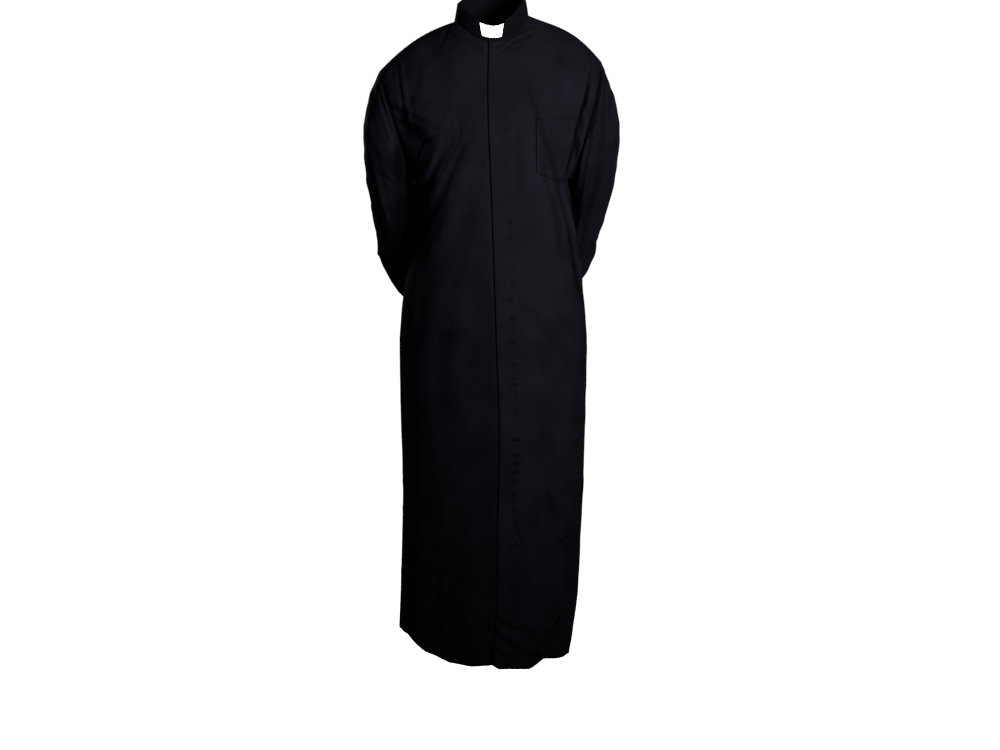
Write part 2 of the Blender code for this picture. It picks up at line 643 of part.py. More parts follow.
def make_pocket():
    """The patch pocket, made from the left front's own points, moved out."""
    columns, rows = 11, 11
    across = np.linspace(-1, 1, columns)
    hem_share = POCKET_HEM / POCKET_SIDE
    down = np.concatenate([[0.0, hem_share * 0.96, hem_share * 1.06], np.linspace(0.32, 1, rows - 3)])
    a, d = np.meshgrid(across, down)
    point = POCKET_POINT * (1 - np.abs(a)) * d ** 2
    width = mix(*POCKET_OUTER_X, d) - POCKET_INNER_X
    x = POCKET_INNER_X + width * np.sin((a + 1) * np.pi / 4)
    z = POCKET_TOP_Z - POCKET_SIDE * d - point
    u, v = locate(x, z)
    outer, normal = body_surface(u, v, -1)
    base = outer + normal * POCKET_LIFT
    hem = np.where(d < hem_share, POCKET_HEM_RISE, 0.0)
    thickness = POCKET_WALL + hem
    return wall_object("chest_pocket", base + normal * thickness[..., None], base, cloth)


def neck_turns():
    """Turns of the points where the panels' columns end at the neck, once round from -90 deg."""
    top = np.array([1.0])
    quarter = np.pi / 2 / NECK_SHARE
    placket = [across_at(offset, top)[0] for offset in (0.0, PLACKET_WIDTH / 2, PLACKET_WIDTH)]
    left, _ = front_grid(np.array(placket[-1:]), top, +1)
    right, _ = front_grid(across_at(UNDERLAP_MARKS[-1], top), top, -1)
    front = np.concatenate([right[0, :NECK_COLUMNS], placket, left[0, 1:NECK_COLUMNS]]) * quarter
    back = np.pi - np.linspace(-1, 1, 2 * NECK_COLUMNS - 1) * np.pi / 2
    return np.unique(np.round(np.concatenate([front, back]), 9))


def collar_ring(turn, height, inset):
    """Point of the collar band at a turn, a height above the neckline and an inset.

    The foot of the band follows the straight runs between the ends of the panels' columns.
    """
    knots = neck_turns()
    ends = neck_edge(knots)
    where = (turn + np.pi / 2) % (2 * np.pi) - np.pi / 2
    base = stack(*(np.interp(where, knots, ends[:, axis]) for axis in range(3)))
    middle = np.array([0.0, (NECK_FRONT_Y + NECK_BACK_Y) / 2])
    radial = base[..., :2] - middle
    length = np.linalg.norm(radial, axis=-1, keepdims=True)
    plan = middle + radial * (1 - (COLLAR_LEAN * height + inset)[..., None] / length)
    return stack(plan[..., 0], plan[..., 1], base[..., 2] + GAP + height)


def collar_turns():
    """Turns round the band from one side of the notch to the other, and the band's heights."""
    def turn_of(x):
        return np.arcsin(x / NECK_HALF_WIDTH)

    split = turn_of(COLLAR_SPLIT_X)
    low = [turn_of(NOTCH_CENTRE + s * NOTCH_HALF_BOTTOM) for s in (1, -1)]
    high = [turn_of(NOTCH_CENTRE + s * NOTCH_HALF_TOP) for s in (1, -1)]
    start = [split + COLLAR_SPLIT, mix(split, low[0], 0.5), low[0], high[0]]
    finish = [2 * np.pi + high[1], 2 * np.pi + low[1], 2 * np.pi + mix(low[1], split, 0.5)]
    knots = neck_turns()
    knots = np.where(knots < 0, knots + 2 * np.pi, knots)
    beyond = 0.03
    round_part = np.sort(knots[(knots > high[0] + beyond) & (knots < 2 * np.pi + high[1] - beyond)])
    turns = np.concatenate([start, round_part, finish, [2 * np.pi + split - COLLAR_SPLIT]])
    tall = np.full(len(turns), COLLAR_HEIGHT)
    tall[:3] = NOTCH_STRIP
    tall[-3:] = NOTCH_STRIP
    return turns, tall


def make_collar():
    """The stand collar: one leaning band, notched at the front down to a narrow strip."""
    turns, tall = collar_turns()
    share = np.linspace(0, 1, 4)
    height = share[:, None] * tall[None, :]
    turn = np.broadcast_to(turns, height.shape)
    outer = collar_ring(turn, height, np.zeros_like(height))
    inner = collar_ring(turn, height, np.full_like(height, BAND))
    return wall_object("collar", outer, inner, cloth)


def make_insert():
    """The white insert: a curved strip held just inside the band, seen in the notch."""
    span = np.arcsin(np.linspace(-1, 1, 11) * INSERT_HALF_WIDTH / NECK_HALF_WIDTH)
    turns = span + NOTCH_CENTRE / NECK_HALF_WIDTH
    height, turn = np.meshgrid(np.linspace(INSERT_LOW, INSERT_HIGH, 3), turns, indexing="ij")
    inset = np.full_like(height, BAND + GAP)
    outer = collar_ring(turn, height, inset)
    inner = collar_ring(turn, height, inset + INSERT)
    return wall_object("collar_tab", outer, inner, white)


def make_sleeve(name, side):
    """A sleeve: a tube from the armhole to the open cuff."""
    along, angle = np.meshgrid(np.linspace(0, 1, SLEEVE_ROWS), armhole_angles(), indexing="ij")
    outer = sleeve_surface(along, angle, side)
    centre, outward, forward = sleeve_station(along)
    centre[..., 0] *= side
    step = 0.01
    around_way = sleeve_surface(along, angle + step, side) - sleeve_surface(along, angle - step, side)
    down_way = (sleeve_surface(np.minimum(along + step, 1), angle, side)
                - sleeve_surface(np.maximum(along - step, 0), angle, side))
    normal = unit(np.cross(around_way, down_way))
    normal = normal * np.sign(np.sum(normal * (outer - centre), -1, keepdims=True))
    away, arm = armhole_frame(angle, side)
    first = (along < 1e-6)[..., None]
    normal = np.where(first, away, normal)
    outer = outer + np.where(first, arm * GAP / 2, 0.0)
    return wall_object(name, outer, outer - normal * CLOTH, cloth, closed=True)


for old in list(bpy.data.objects):
    bpy.data.objects.remove(old, do_unlink=True)
robe = bpy.data.collections.new("cassock")
bpy.context.scene.collection.children.link(robe)
cloth = make_material("black cloth", 0.75)
white = make_material("white insert", 0.45)

make_back()
make_front_left()
make_front_right()
make_placket()
make_pocket()
make_collar()
make_insert()
make_sleeve("sleeve_left", +1)
make_sleeve("sleeve_right", -1)
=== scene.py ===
# %% [markdown]
# # A cassock as thin shells of cloth
# A cassock is a long clerical robe: a stand collar with a white insert, a row of buttons
# hidden under a placket, long sleeves and a skirt that falls almost to the shoes.
# This one keeps the hollow form that it has when it is worn, with both arms held behind the
# back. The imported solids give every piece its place. Here each one gets a finer shell, with
# folds, seams, stitches and a woven finish.

import bpy
import numpy as np
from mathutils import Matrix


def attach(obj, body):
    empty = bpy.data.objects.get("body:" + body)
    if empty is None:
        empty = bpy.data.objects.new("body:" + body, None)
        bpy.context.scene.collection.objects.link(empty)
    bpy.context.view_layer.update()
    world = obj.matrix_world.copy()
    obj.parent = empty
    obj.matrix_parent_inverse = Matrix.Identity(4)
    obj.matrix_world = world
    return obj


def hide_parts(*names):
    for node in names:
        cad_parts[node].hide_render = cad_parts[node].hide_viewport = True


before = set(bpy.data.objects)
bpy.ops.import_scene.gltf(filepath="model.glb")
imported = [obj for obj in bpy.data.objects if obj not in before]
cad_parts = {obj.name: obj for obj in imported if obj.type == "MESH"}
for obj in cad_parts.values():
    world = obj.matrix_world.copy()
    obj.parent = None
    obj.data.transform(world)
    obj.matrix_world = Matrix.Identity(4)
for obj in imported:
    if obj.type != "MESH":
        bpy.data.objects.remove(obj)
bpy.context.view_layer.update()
print("solids:", ", ".join(sorted(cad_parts)))

# %% [markdown]
# ## Curves through a few numbers
# A dressmaker's block is a handful of measurements joined by smooth curves. The same idea
# serves here: a short table of heights and widths, read by a cubic curve that passes through
# every entry. It needs far fewer numbers than a sculpted mesh, and every number has a meaning.

# %% Reading a table as a smooth curve
CLOTH = 0.0014              # one layer of the robe's wall, in metres
GAP = 0.0003                # the solids' gap at each seam


def table(names, rows):
    """The rows' columns as arrays under their names."""
    return dict(zip(names.split(), np.array(rows).T))


def smooth(positions, values, at):
    """Cubic curve through the values: the four Hermite blends of ends and slopes on each span."""
    order = np.argsort(positions)
    knots = np.asarray(positions, float)[order]
    levels = np.asarray(values, float)[order]
    slopes = np.gradient(levels, knots)
    at = np.clip(at, knots[0], knots[-1])
    span = np.clip(np.searchsorted(knots, at) - 1, 0, len(knots) - 2)
    width = knots[span + 1] - knots[span]
    t = (at - knots[span]) / width
    start = (1 + 2 * t) * (1 - t) ** 2 * levels[span] + t * (1 - t) ** 2 * width * slopes[span]
    end = t * t * (3 - 2 * t) * levels[span + 1] - t * t * (1 - t) * width * slopes[span + 1]
    return start + end


def mix(a, b, share):
    """a + (b - a) times the share."""
    return a + (b - a) * share


def ease(t):
    """3t^2 - 2t^3 on 0 to 1: a step with soft ends."""
    t = np.clip(t, 0, 1)
    return t * t * (3 - 2 * t)


def unit(vectors):
    """Each vector divided by its length."""
    return vectors / np.maximum(np.linalg.norm(vectors, axis=-1, keepdims=True), 1e-12)


def stack(x, y, z):
    """Three arrays of coordinates as one array of points."""
    return np.stack(np.broadcast_arrays(x, y, z), axis=-1)


def line_length(points):
    """Sum of the distances between neighbours."""
    return np.linalg.norm(np.diff(points, axis=0), axis=1).sum()


print("halfway between 1 and 4 the curve through 0, 1, 4 reads", smooth([0, 1, 2], [0, 1, 4], 1.5))

# %% [markdown]
# ## The arm's path
# Each sleeve is a tube round an arm that hangs, bends back at the elbow and ends behind the
# waist. A list of ellipses along the arm describes it: where each one's centre is, how wide
# and deep it is, and how far its outer side tips down. The first ellipse is the armhole, so
# the body's edge and the sleeve's edge come from one formula and can't drift apart.

# %% The sleeve's sections, from the armhole to the cuff
SLEEVE = table("x y z half_width half_depth drop inward_right inward_left", [
    (0.1955, 0.010, -0.2180, 0.1225, 0.070, -73.0, 0.000, 0.000),
    (0.2070, 0.011, -0.2420, 0.1040, 0.070, -66.0, 0.000, 0.000),
    (0.2125, 0.014, -0.2710, 0.0860, 0.070, -56.0, 0.000, 0.000),
    (0.2120, 0.021, -0.3020, 0.0670, 0.068, -42.0, 0.002, 0.000),
    (0.2105, 0.033, -0.3360, 0.0535, 0.066, -24.0, 0.010, -0.003),
    (0.2060, 0.052, -0.3760, 0.0460, 0.064, -4.0, 0.018, -0.009),
    (0.1965, 0.084, -0.4260, 0.0470, 0.061, 12.0, 0.023, -0.004),
    (0.1870, 0.120, -0.4760, 0.0480, 0.056, 25.0, 0.018, -0.003),
    (0.1690, 0.148, -0.5230, 0.0510, 0.052, 37.0, 0.009, 0.000),
    (0.1400, 0.167, -0.5610, 0.0510, 0.049, 46.0, 0.000, 0.000),
    (0.1000, 0.179, -0.5890, 0.0470, 0.045, 50.0, 0.000, 0.000),
    (0.0590, 0.187, -0.6100, 0.0430, 0.042, 52.0, 0.000, 0.000),
])
INWARD = {-1: "inward_right", +1: "inward_left"}
INWARD_TURN = {-1: 0.50, +1: 0.0}
ARM_DIRECTION = np.array([0.957, 0.0, -0.289])
ARMHOLE_BOW = 0.007
SHOULDER_DROP = {-1: 0.012, +1: -0.009}
SHOULDER_RISE = {-1: 0.0155, +1: 0.019}
SHOULDER_SKEW = {-1: 1.05, +1: 1.35}
print("sleeve:", len(SLEEVE["z"]), "ellipses, the last at a height of", SLEEVE["z"][-1])

# %% The sleeve's plain surface
STATIONS = np.arange(len(SLEEVE["z"]))
SLOPE_STEP = 0.02            # in stations
SQUARE_FROM = 4              # from this station on the ellipses turn square to the arm
SQUARE_BY = 7                # and are so by this one
BOW_REACH = 0.12             # shares along the arm up to which the armhole's bow is felt
DROP_REACH = 0.45            # and the shoulder's drop


def sleeve_size(name, at):
    """One column of the table at a station, which may lie between two rows."""
    return smooth(STATIONS, SLEEVE[name], at)


def arm_centre(at):
    """The ellipse's centre at a station."""
    return stack(sleeve_size("x", at), sleeve_size("y", at), sleeve_size("z", at))


def sleeve_station(along):
    """Centre, outward half axis and forward half axis of the ellipse at a share along the arm."""
    at = along * STATIONS[-1]
    centre = arm_centre(at)
    ahead = unit(arm_centre(np.minimum(at + SLOPE_STEP, STATIONS[-1]))
                 - arm_centre(np.maximum(at - SLOPE_STEP, 0)))
    drop = np.radians(sleeve_size("drop", at))
    outward = stack(np.cos(drop), 0 * drop, -np.sin(drop))
    leaving = np.clip(at, 0, 1)[..., None]
    ahead = unit(mix(ARM_DIRECTION, ahead, leaving))
    square = np.clip((at - SQUARE_FROM) / (SQUARE_BY - SQUARE_FROM), 0, 1)[..., None]
    outward = unit(outward - square * np.sum(outward * ahead, -1, keepdims=True) * ahead)
    forward = unit(np.cross(ahead, outward))
    half_width, half_depth = sleeve_size("half_width", at), sleeve_size("half_depth", at)
    return centre, outward * half_width[..., None], forward * half_depth[..., None]


def plain_sleeve(along, angle, side):
    """Centre + outward cos(angle) + forward sin(angle), bowed at the armhole, mirrored by side."""
    centre, outward, forward = sleeve_station(along)
    points = centre + outward * np.cos(angle)[..., None] + forward * np.sin(angle)[..., None]
    points[..., 0] += ARMHOLE_BOW * np.sin(angle) ** 2 * np.clip(1 - along / BOW_REACH, 0, 1)
    drawn_in = sleeve_size(INWARD[side], along * STATIONS[-1])
    inner_share = np.clip(-np.cos(angle - INWARD_TURN[side]), 0, 1)
    points = points - unit(outward) * (drawn_in * inner_share)[..., None]
    drop = SHOULDER_DROP[side] * (1 + np.cos(angle)) / 2
    points[..., 2] -= drop * np.clip(1 - along / DROP_REACH, 0, 1)
    points[..., 0] *= side
    return points


def armhole(angle, side):
    """The sleeve's first ellipse."""
    return plain_sleeve(np.zeros_like(angle), angle, side)


def armhole_edge(u, angle):
    """A point of the right armhole where u is negative, and of the left one elsewhere."""
    return np.where((u < 0)[..., None], armhole(angle, -1), armhole(angle, 1))


arm_line = sleeve_station(np.linspace(0, 1, 60))[0]
print("centre line of an arm: %.3f m" % line_length(arm_line))

# %% [markdown]
# ## The body's cross sections
# Below the armpits the robe is a stack of half ovals, one for the front and one for the
# back, that meet at the side seams. Where the skirt is pulled flat the oval is pinched toward
# the seam. Above the armpits the sides run up the armholes, and over the shoulders each
# panel curls to the neckline and the shoulder seam.

# %% Sizes of the trunk and skirt
SECTIONS = table("z right left side front back pinch_right pinch_left", [
    (-1.335, 0.198, 0.170, 0.010, -0.152, 0.148, 2.00, 1.25),
    (-1.225, 0.194, 0.187, 0.010, -0.151, 0.147, 1.75, 1.25),
    (-1.125, 0.191, 0.192, 0.010, -0.150, 0.145, 1.50, 1.25),
    (-0.995, 0.188, 0.198, 0.010, -0.149, 0.142, 1.35, 1.20),
    (-0.800, 0.192, 0.203, 0.010, -0.146, 0.134, 1.20, 1.15),
    (-0.670, 0.192, 0.204, 0.010, -0.142, 0.120, 1.10, 1.05),
    (-0.588, 0.186, 0.198, 0.008, -0.138, 0.108, 1.00, 1.00),
    (-0.540, 0.178, 0.190, 0.006, -0.135, 0.102, 0.95, 0.95),
    (-0.488, 0.162, 0.181, 0.004, -0.132, 0.100, 0.90, 0.90),
    (-0.450, 0.153, 0.176, 0.004, -0.130, 0.101, 0.80, 0.80),
    (-0.378, 0.149, 0.166, 0.008, -0.127, 0.110, 0.72, 0.72),
    (-0.338, 0.158, 0.160, 0.015, -0.125, 0.118, 0.72, 0.72),
])
ARMPIT_Z = -0.338
CHEST = table("z front back", [
    (-0.338, -0.125, 0.118),
    (-0.250, -0.121, 0.128),
    (-0.180, -0.112, 0.128),
    (-0.130, -0.102, 0.122),
])
YOKE_Z = {-1: -0.130, +1: -0.105}
CHEST_PINCH = 1.7
HEM = table("across front_drop back_drop", [
    (-1.00, -0.043, -0.043),
    (-0.90, -0.036, -0.030),
    (-0.72, -0.008, -0.012),
    (-0.50, 0.005, -0.004),
    (-0.04, 0.000, 0.000),
    (0.02, 0.008, 0.000),
    (0.40, 0.012, 0.004),
    (0.62, 0.001, 0.008),
    (0.94, 0.012, 0.014),
    (1.00, 0.020, 0.020),
])
HEM_REACH = 0.30             # share up to which the hem's droop is felt
FACE_NAME = {-1: "front", +1: "back"}
NECK_HALF_WIDTH = 0.0765
NECK_FRONT_Y = -0.083
NECK_BACK_Y = 0.062
NECK_SIDE_Z = {-1: -0.012, +1: 0.002}
NECK_FRONT_Z = -0.056
NECK_BACK_Z = 0.022
NECK_SHARE = 0.42
ARMPIT_V = 0.62
YOKE_V = 0.84
YOKE_ANGLE = np.radians(58.0)
SHOULDER_BEND = np.array([0.5, 0.30, 0.72])
print("trunk and skirt:", len(SECTIONS["z"]), "half ovals, from the hem up to", ARMPIT_Z)


# %% Neckline and shoulder line
def by_side(sign, pair):
    """The right side's value where the sign is negative, and the left side's elsewhere."""
    return np.where(sign < 0, pair[-1], pair[+1])


def neck_edge(turn):
    """Half an oval: x = width sin(turn), y = middle - depth cos(turn), z eased from front to side."""
    middle = (NECK_FRONT_Y + NECK_BACK_Y) / 2
    depth = (NECK_BACK_Y - NECK_FRONT_Y) / 2
    side_z = by_side(np.sin(turn), NECK_SIDE_Z)
    front = mix(NECK_FRONT_Z, side_z, np.sin(turn) ** 2)
    back = mix(NECK_BACK_Z, side_z, np.sin(turn) ** 2)
    z = np.where(np.cos(turn) > 0, front, back)
    return stack(NECK_HALF_WIDTH * np.sin(turn), middle - depth * np.cos(turn), z)


def shoulder_row(u, face):
    """Top edge of a panel: the neckline out to NECK_SHARE, then an arched line to the armhole's top."""
    side = np.where(u < 0, -1, 1)
    share = np.abs(u)
    turn = np.clip(share / NECK_SHARE, 0, 1) * np.pi / 2
    turn = side * (turn if face < 0 else np.pi - turn)
    neck = neck_edge(turn)
    t = np.clip((share - NECK_SHARE) / (1 - NECK_SHARE), 0, 1)
    seam = mix(neck_edge(side * np.pi / 2), armhole_edge(u, np.zeros_like(u)), t[..., None])
    arch = np.maximum(np.sin(np.pi * t ** by_side(side, SHOULDER_SKEW)), 0) ** 0.9
    seam[..., 2] += by_side(side, SHOULDER_RISE) * arch
    return np.where((share < NECK_SHARE)[..., None], neck, seam)


neckline = neck_edge(np.linspace(0, 2 * np.pi, 200))
print("round the neckline: %.3f m" % line_length(neckline))


# %% Skirt and chest as functions of a share across (u) and a share up (v)
def section_row(u, z, side_x, side_y, side_z, centre_y, pinch):
    """Half oval: x = side sin(a), y = side + (centre - side) cos(a)^pinch, with a = u times 90 deg."""
    angle = np.clip(np.abs(u), 0, 1) * np.pi / 2
    across = np.sin(angle)
    x = np.sign(u) * side_x * across
    y = side_y + (centre_y - side_y) * np.maximum(np.cos(angle), 0) ** pinch
    return stack(x, y, z + (side_z - z) * across ** 2)


def skirt_rows(u, v, face):
    """The sections' half ovals, from the hem's sagging edge up to the armpits."""
    nominal = mix(SECTIONS["z"][0], ARMPIT_Z, v / ARMPIT_V)
    size = {name: smooth(SECTIONS["z"], SECTIONS[name], nominal) for name in SECTIONS if name != "z"}
    half = by_side(u, {-1: size["right"], +1: size["left"]})
    pinch = by_side(u, {-1: size["pinch_right"], +1: size["pinch_left"]})
    across = np.sign(u) * np.sin(np.abs(u) * np.pi / 2)
    drop = np.interp(across, HEM["across"], HEM[FACE_NAME[face] + "_drop"])
    z = nominal - drop * np.clip(1 - v / HEM_REACH, 0, 1) ** 2
    return section_row(u, z, half, size["side"], z, size[FACE_NAME[face]], pinch)


def chest_rows(u, v, face):
    """Half ovals whose sides climb the armhole from its lowest point to the yoke angle."""
    w = np.clip((v - ARMPIT_V) / (YOKE_V - ARMPIT_V), 0, 1)
    angle = mix(np.pi, YOKE_ANGLE, w)
    edge = armhole_edge(u, angle * -face)
    z = mix(ARMPIT_Z, YOKE_Z[face], w)
    centre_y = smooth(CHEST["z"], CHEST[FACE_NAME[face]], z)
    pinch = mix(SECTIONS["pinch_left"][-1], CHEST_PINCH, ease(w / 0.75))
    return section_row(u, z, np.abs(edge[..., 0]), edge[..., 1], edge[..., 2], centre_y, pinch)


across_body = np.linspace(-1, 1, 80)
armpit_rows = [skirt_rows(across_body, np.full(80, ARMPIT_V), face) for face in (-1, 1)]
print("round the body below the armpits: %.3f m" % sum(line_length(row) for row in armpit_rows))


# %% Over the shoulders, and the whole plain body
def shoulder_curve(u, v, face):
    """A parabola in v: start (1-t)^2, bend 2t(1-t), end t^2, from the yoke row to the top edge."""
    t = np.clip((v - YOKE_V) / (1 - YOKE_V), 0, 1)[..., None]
    start = chest_rows(u, np.full_like(v, YOKE_V), face)
    end = shoulder_row(u, face)
    return (1 - t) ** 2 * start + 2 * t * (1 - t) * mix(start, end, SHOULDER_BEND) + t ** 2 * end


def yoke_rows(u, v, face):
    """The shoulder curve, drawn to the armhole's edge by the fourth power of the share across."""
    angle = YOKE_ANGLE * (1 - np.clip((v - YOKE_V) / (1 - YOKE_V), 0, 1)) * -face
    pull = armhole_edge(u, angle) - shoulder_curve(np.sign(u), v, face)
    return shoulder_curve(u, v, face) + pull * (np.abs(u) ** 4)[..., None]


def plain_body(u, v, face):
    """Skirt below the armpits, chest up to the yoke, then shoulders. face is -1 front, +1 back."""
    u, v = np.broadcast_arrays(np.asarray(u, float), np.asarray(v, float))
    points = np.where((v < ARMPIT_V)[..., None],
                      skirt_rows(u, np.minimum(v, ARMPIT_V), face), chest_rows(u, v, face))
    return np.where((v > YOKE_V)[..., None], yoke_rows(u, v, face), points)


def body_normal(u, v, face):
    """Cross product of the slopes across and up, turned to point out of the robe."""
    step = 0.004
    across = plain_body(np.minimum(u + step, 1), v, face) - plain_body(np.maximum(u - step, -1), v, face)
    up = plain_body(u, np.minimum(v + step, 1), face) - plain_body(u, np.maximum(v - step, 0), face)
    return unit(np.cross(across, up)) * -face


hem_line = plain_body(across_body, np.zeros(80), -1)
print("front hem, side to side: %.3f m" % line_length(hem_line))

# %% [markdown]
# ## Folds
# Cloth folds are not noise. A fold starts where something pulls, such as an armpit, a button
# or a stitched edge, is deepest near there, and dies away. So each one is placed as a line
# with a width and a height at both of its ends. Its cross section is a soft ridge with a
# shallow hollow at each side, one flank steeper than the other, and its height and its path
# waver a little, so that no two look alike. A negative height is a trough.

# %% One fold's height, and a table of folds added up
# A fold's columns: its line from (x0, z0) to (x1, z1), the line's bow, its width, its heights at
# the start and end, all in millimetres, and its lean.
FOLD_UNITS = np.array([0.001] * 8 + [1.0])


def along_line(a, b, a0, b0, a1, b1):
    """Distances along and off the line from (a0, b0) to (a1, b1), and the line's length."""
    run = np.hypot(a1 - a0, b1 - b0)
    along = ((a - a0) * (a1 - a0) + (b - b0) * (b1 - b0)) / run
    off = ((a - a0) * (b1 - b0) - (b - b0) * (a1 - a0)) / run
    return along, off, run


def wander(t, seed):
    """Three sines of rising pitch and falling strength, phases taken from the seed."""
    phase = np.random.default_rng(seed).uniform(0, 2 * np.pi, 3)
    return (np.sin(5.1 * t + phase[0]) + 0.6 * np.sin(11.3 * t + phase[1])
            + 0.35 * np.sin(23.0 * t + phase[2])) / 1.95


def fold_profile(off, lean):
    """Ridge exp(-s^2) less a wide hollow 0.32 exp(-s^2 / 5), flanks scaled by the lean."""
    scaled = off / (1 + lean * np.tanh(off))
    return np.exp(-scaled ** 2) - 0.32 * np.exp(-scaled ** 2 / 5)


def fold_relief(a, b, folds, seed):
    """Sum of all folds at places (a, b): height along each line times its profile across it."""
    relief = np.zeros(np.broadcast(a, b).shape)
    for number, row in enumerate(folds):
        *line, bow, width, start, end, lean = np.multiply(row, FOLD_UNITS)
        along, off, run = along_line(a, b, *line)
        t = np.clip(along / run, 0, 1)
        off = off - bow * 4 * t * (1 - t) - 0.12 * width * wander(t * run / 0.09, seed + number)
        height = mix(start, end, t) * (1 + 0.22 * wander(t * run / 0.05, seed + 50 + number))
        beyond = (np.minimum(along, 0) + np.maximum(along - run, 0)) / (0.30 * run + width)
        relief += height * fold_profile(off / (width * mix(0.8, 1.2, t)), lean) * np.exp(-beyond ** 2)
    return relief


def rumple(a, b, size, height, seed, waves=14):
    """Soft unevenness: sines of random direction, with wavelengths near `size`, averaged."""
    rng = np.random.default_rng(seed)
    total = np.zeros(np.broadcast(a, b).shape)
    for _ in range(waves):
        heading = rng.uniform(0, np.pi)
        wave = 2 * np.pi / (size * rng.uniform(0.6, 1.7))
        bend = 0.8 * np.sin(wave * 0.37 * (a * np.sin(heading) - b * np.cos(heading)) + rng.uniform(0, 6.3))
        total += np.sin(wave * (a * np.cos(heading) + b * np.sin(heading)) + bend + rng.uniform(0, 6.3))
    return height * total / np.sqrt(waves / 2)


fold_section = fold_profile(np.linspace(-6, 6, 600), 0.3)
print("one fold: ridge %.2f, hollow %.2f of its height" % (fold_section.max(), fold_section.min()))

# %% The largest folds, which the solids have too
# A large fold's columns, in metres: its line's two ends, half width, and heights at both ends.
LARGE_FRONT = [
    (0.070, -0.330, 0.118, -0.600, 0.024, 0.002, 0.006),
    (-0.062, -0.300, -0.128, -0.470, 0.022, 0.006, 0.003),
    (-0.150, -0.640, -0.165, -1.330, 0.022, 0.001, 0.007),
    (-0.088, -0.560, -0.100, -1.360, 0.026, 0.003, -0.006),
    (-0.045, -0.800, -0.050, -1.360, 0.022, 0.000, 0.005),
    (0.060, -0.760, 0.066, -1.370, 0.024, 0.000, 0.007),
    (0.100, -0.700, 0.104, -1.370, 0.020, 0.000, -0.005),
    (0.142, -0.620, 0.140, -1.370, 0.022, 0.004, 0.005),
    (-0.150, -0.120, -0.118, -0.330, 0.022, 0.004, 0.003),
    (0.150, -0.110, 0.140, -0.260, 0.022, 0.004, 0.004),
]
LARGE_BACK = [
    (0.085, -0.230, 0.030, -0.470, 0.024, 0.004, 0.006),
    (-0.092, -0.220, -0.040, -0.450, 0.024, 0.005, 0.005),
    (0.120, -0.600, 0.128, -1.350, 0.024, 0.003, 0.007),
    (0.070, -0.640, 0.076, -1.350, 0.024, 0.000, -0.006),
    (0.016, -0.600, 0.014, -1.350, 0.026, 0.003, 0.008),
    (-0.048, -0.660, -0.052, -1.350, 0.024, 0.000, -0.006),
    (-0.105, -0.600, -0.116, -1.350, 0.024, 0.003, 0.007),
]


def large_relief(x, z, folds):
    """Each row is a bell across its line, height mixed from start to end, faded past both."""
    relief = np.zeros_like(x)
    for *line, half_width, start, end in folds:
        along, off, run = along_line(x, z, *line)
        height = mix(start, end, np.clip(along / run, 0, 1))
        beyond = np.minimum(along, 0) / 0.06 + np.maximum(along - run, 0) / 0.05
        relief = relief + height * np.exp(-(off / half_width) ** 2 - beyond ** 2)
    return relief


print("large folds: front", len(LARGE_FRONT), "back", len(LARGE_BACK))

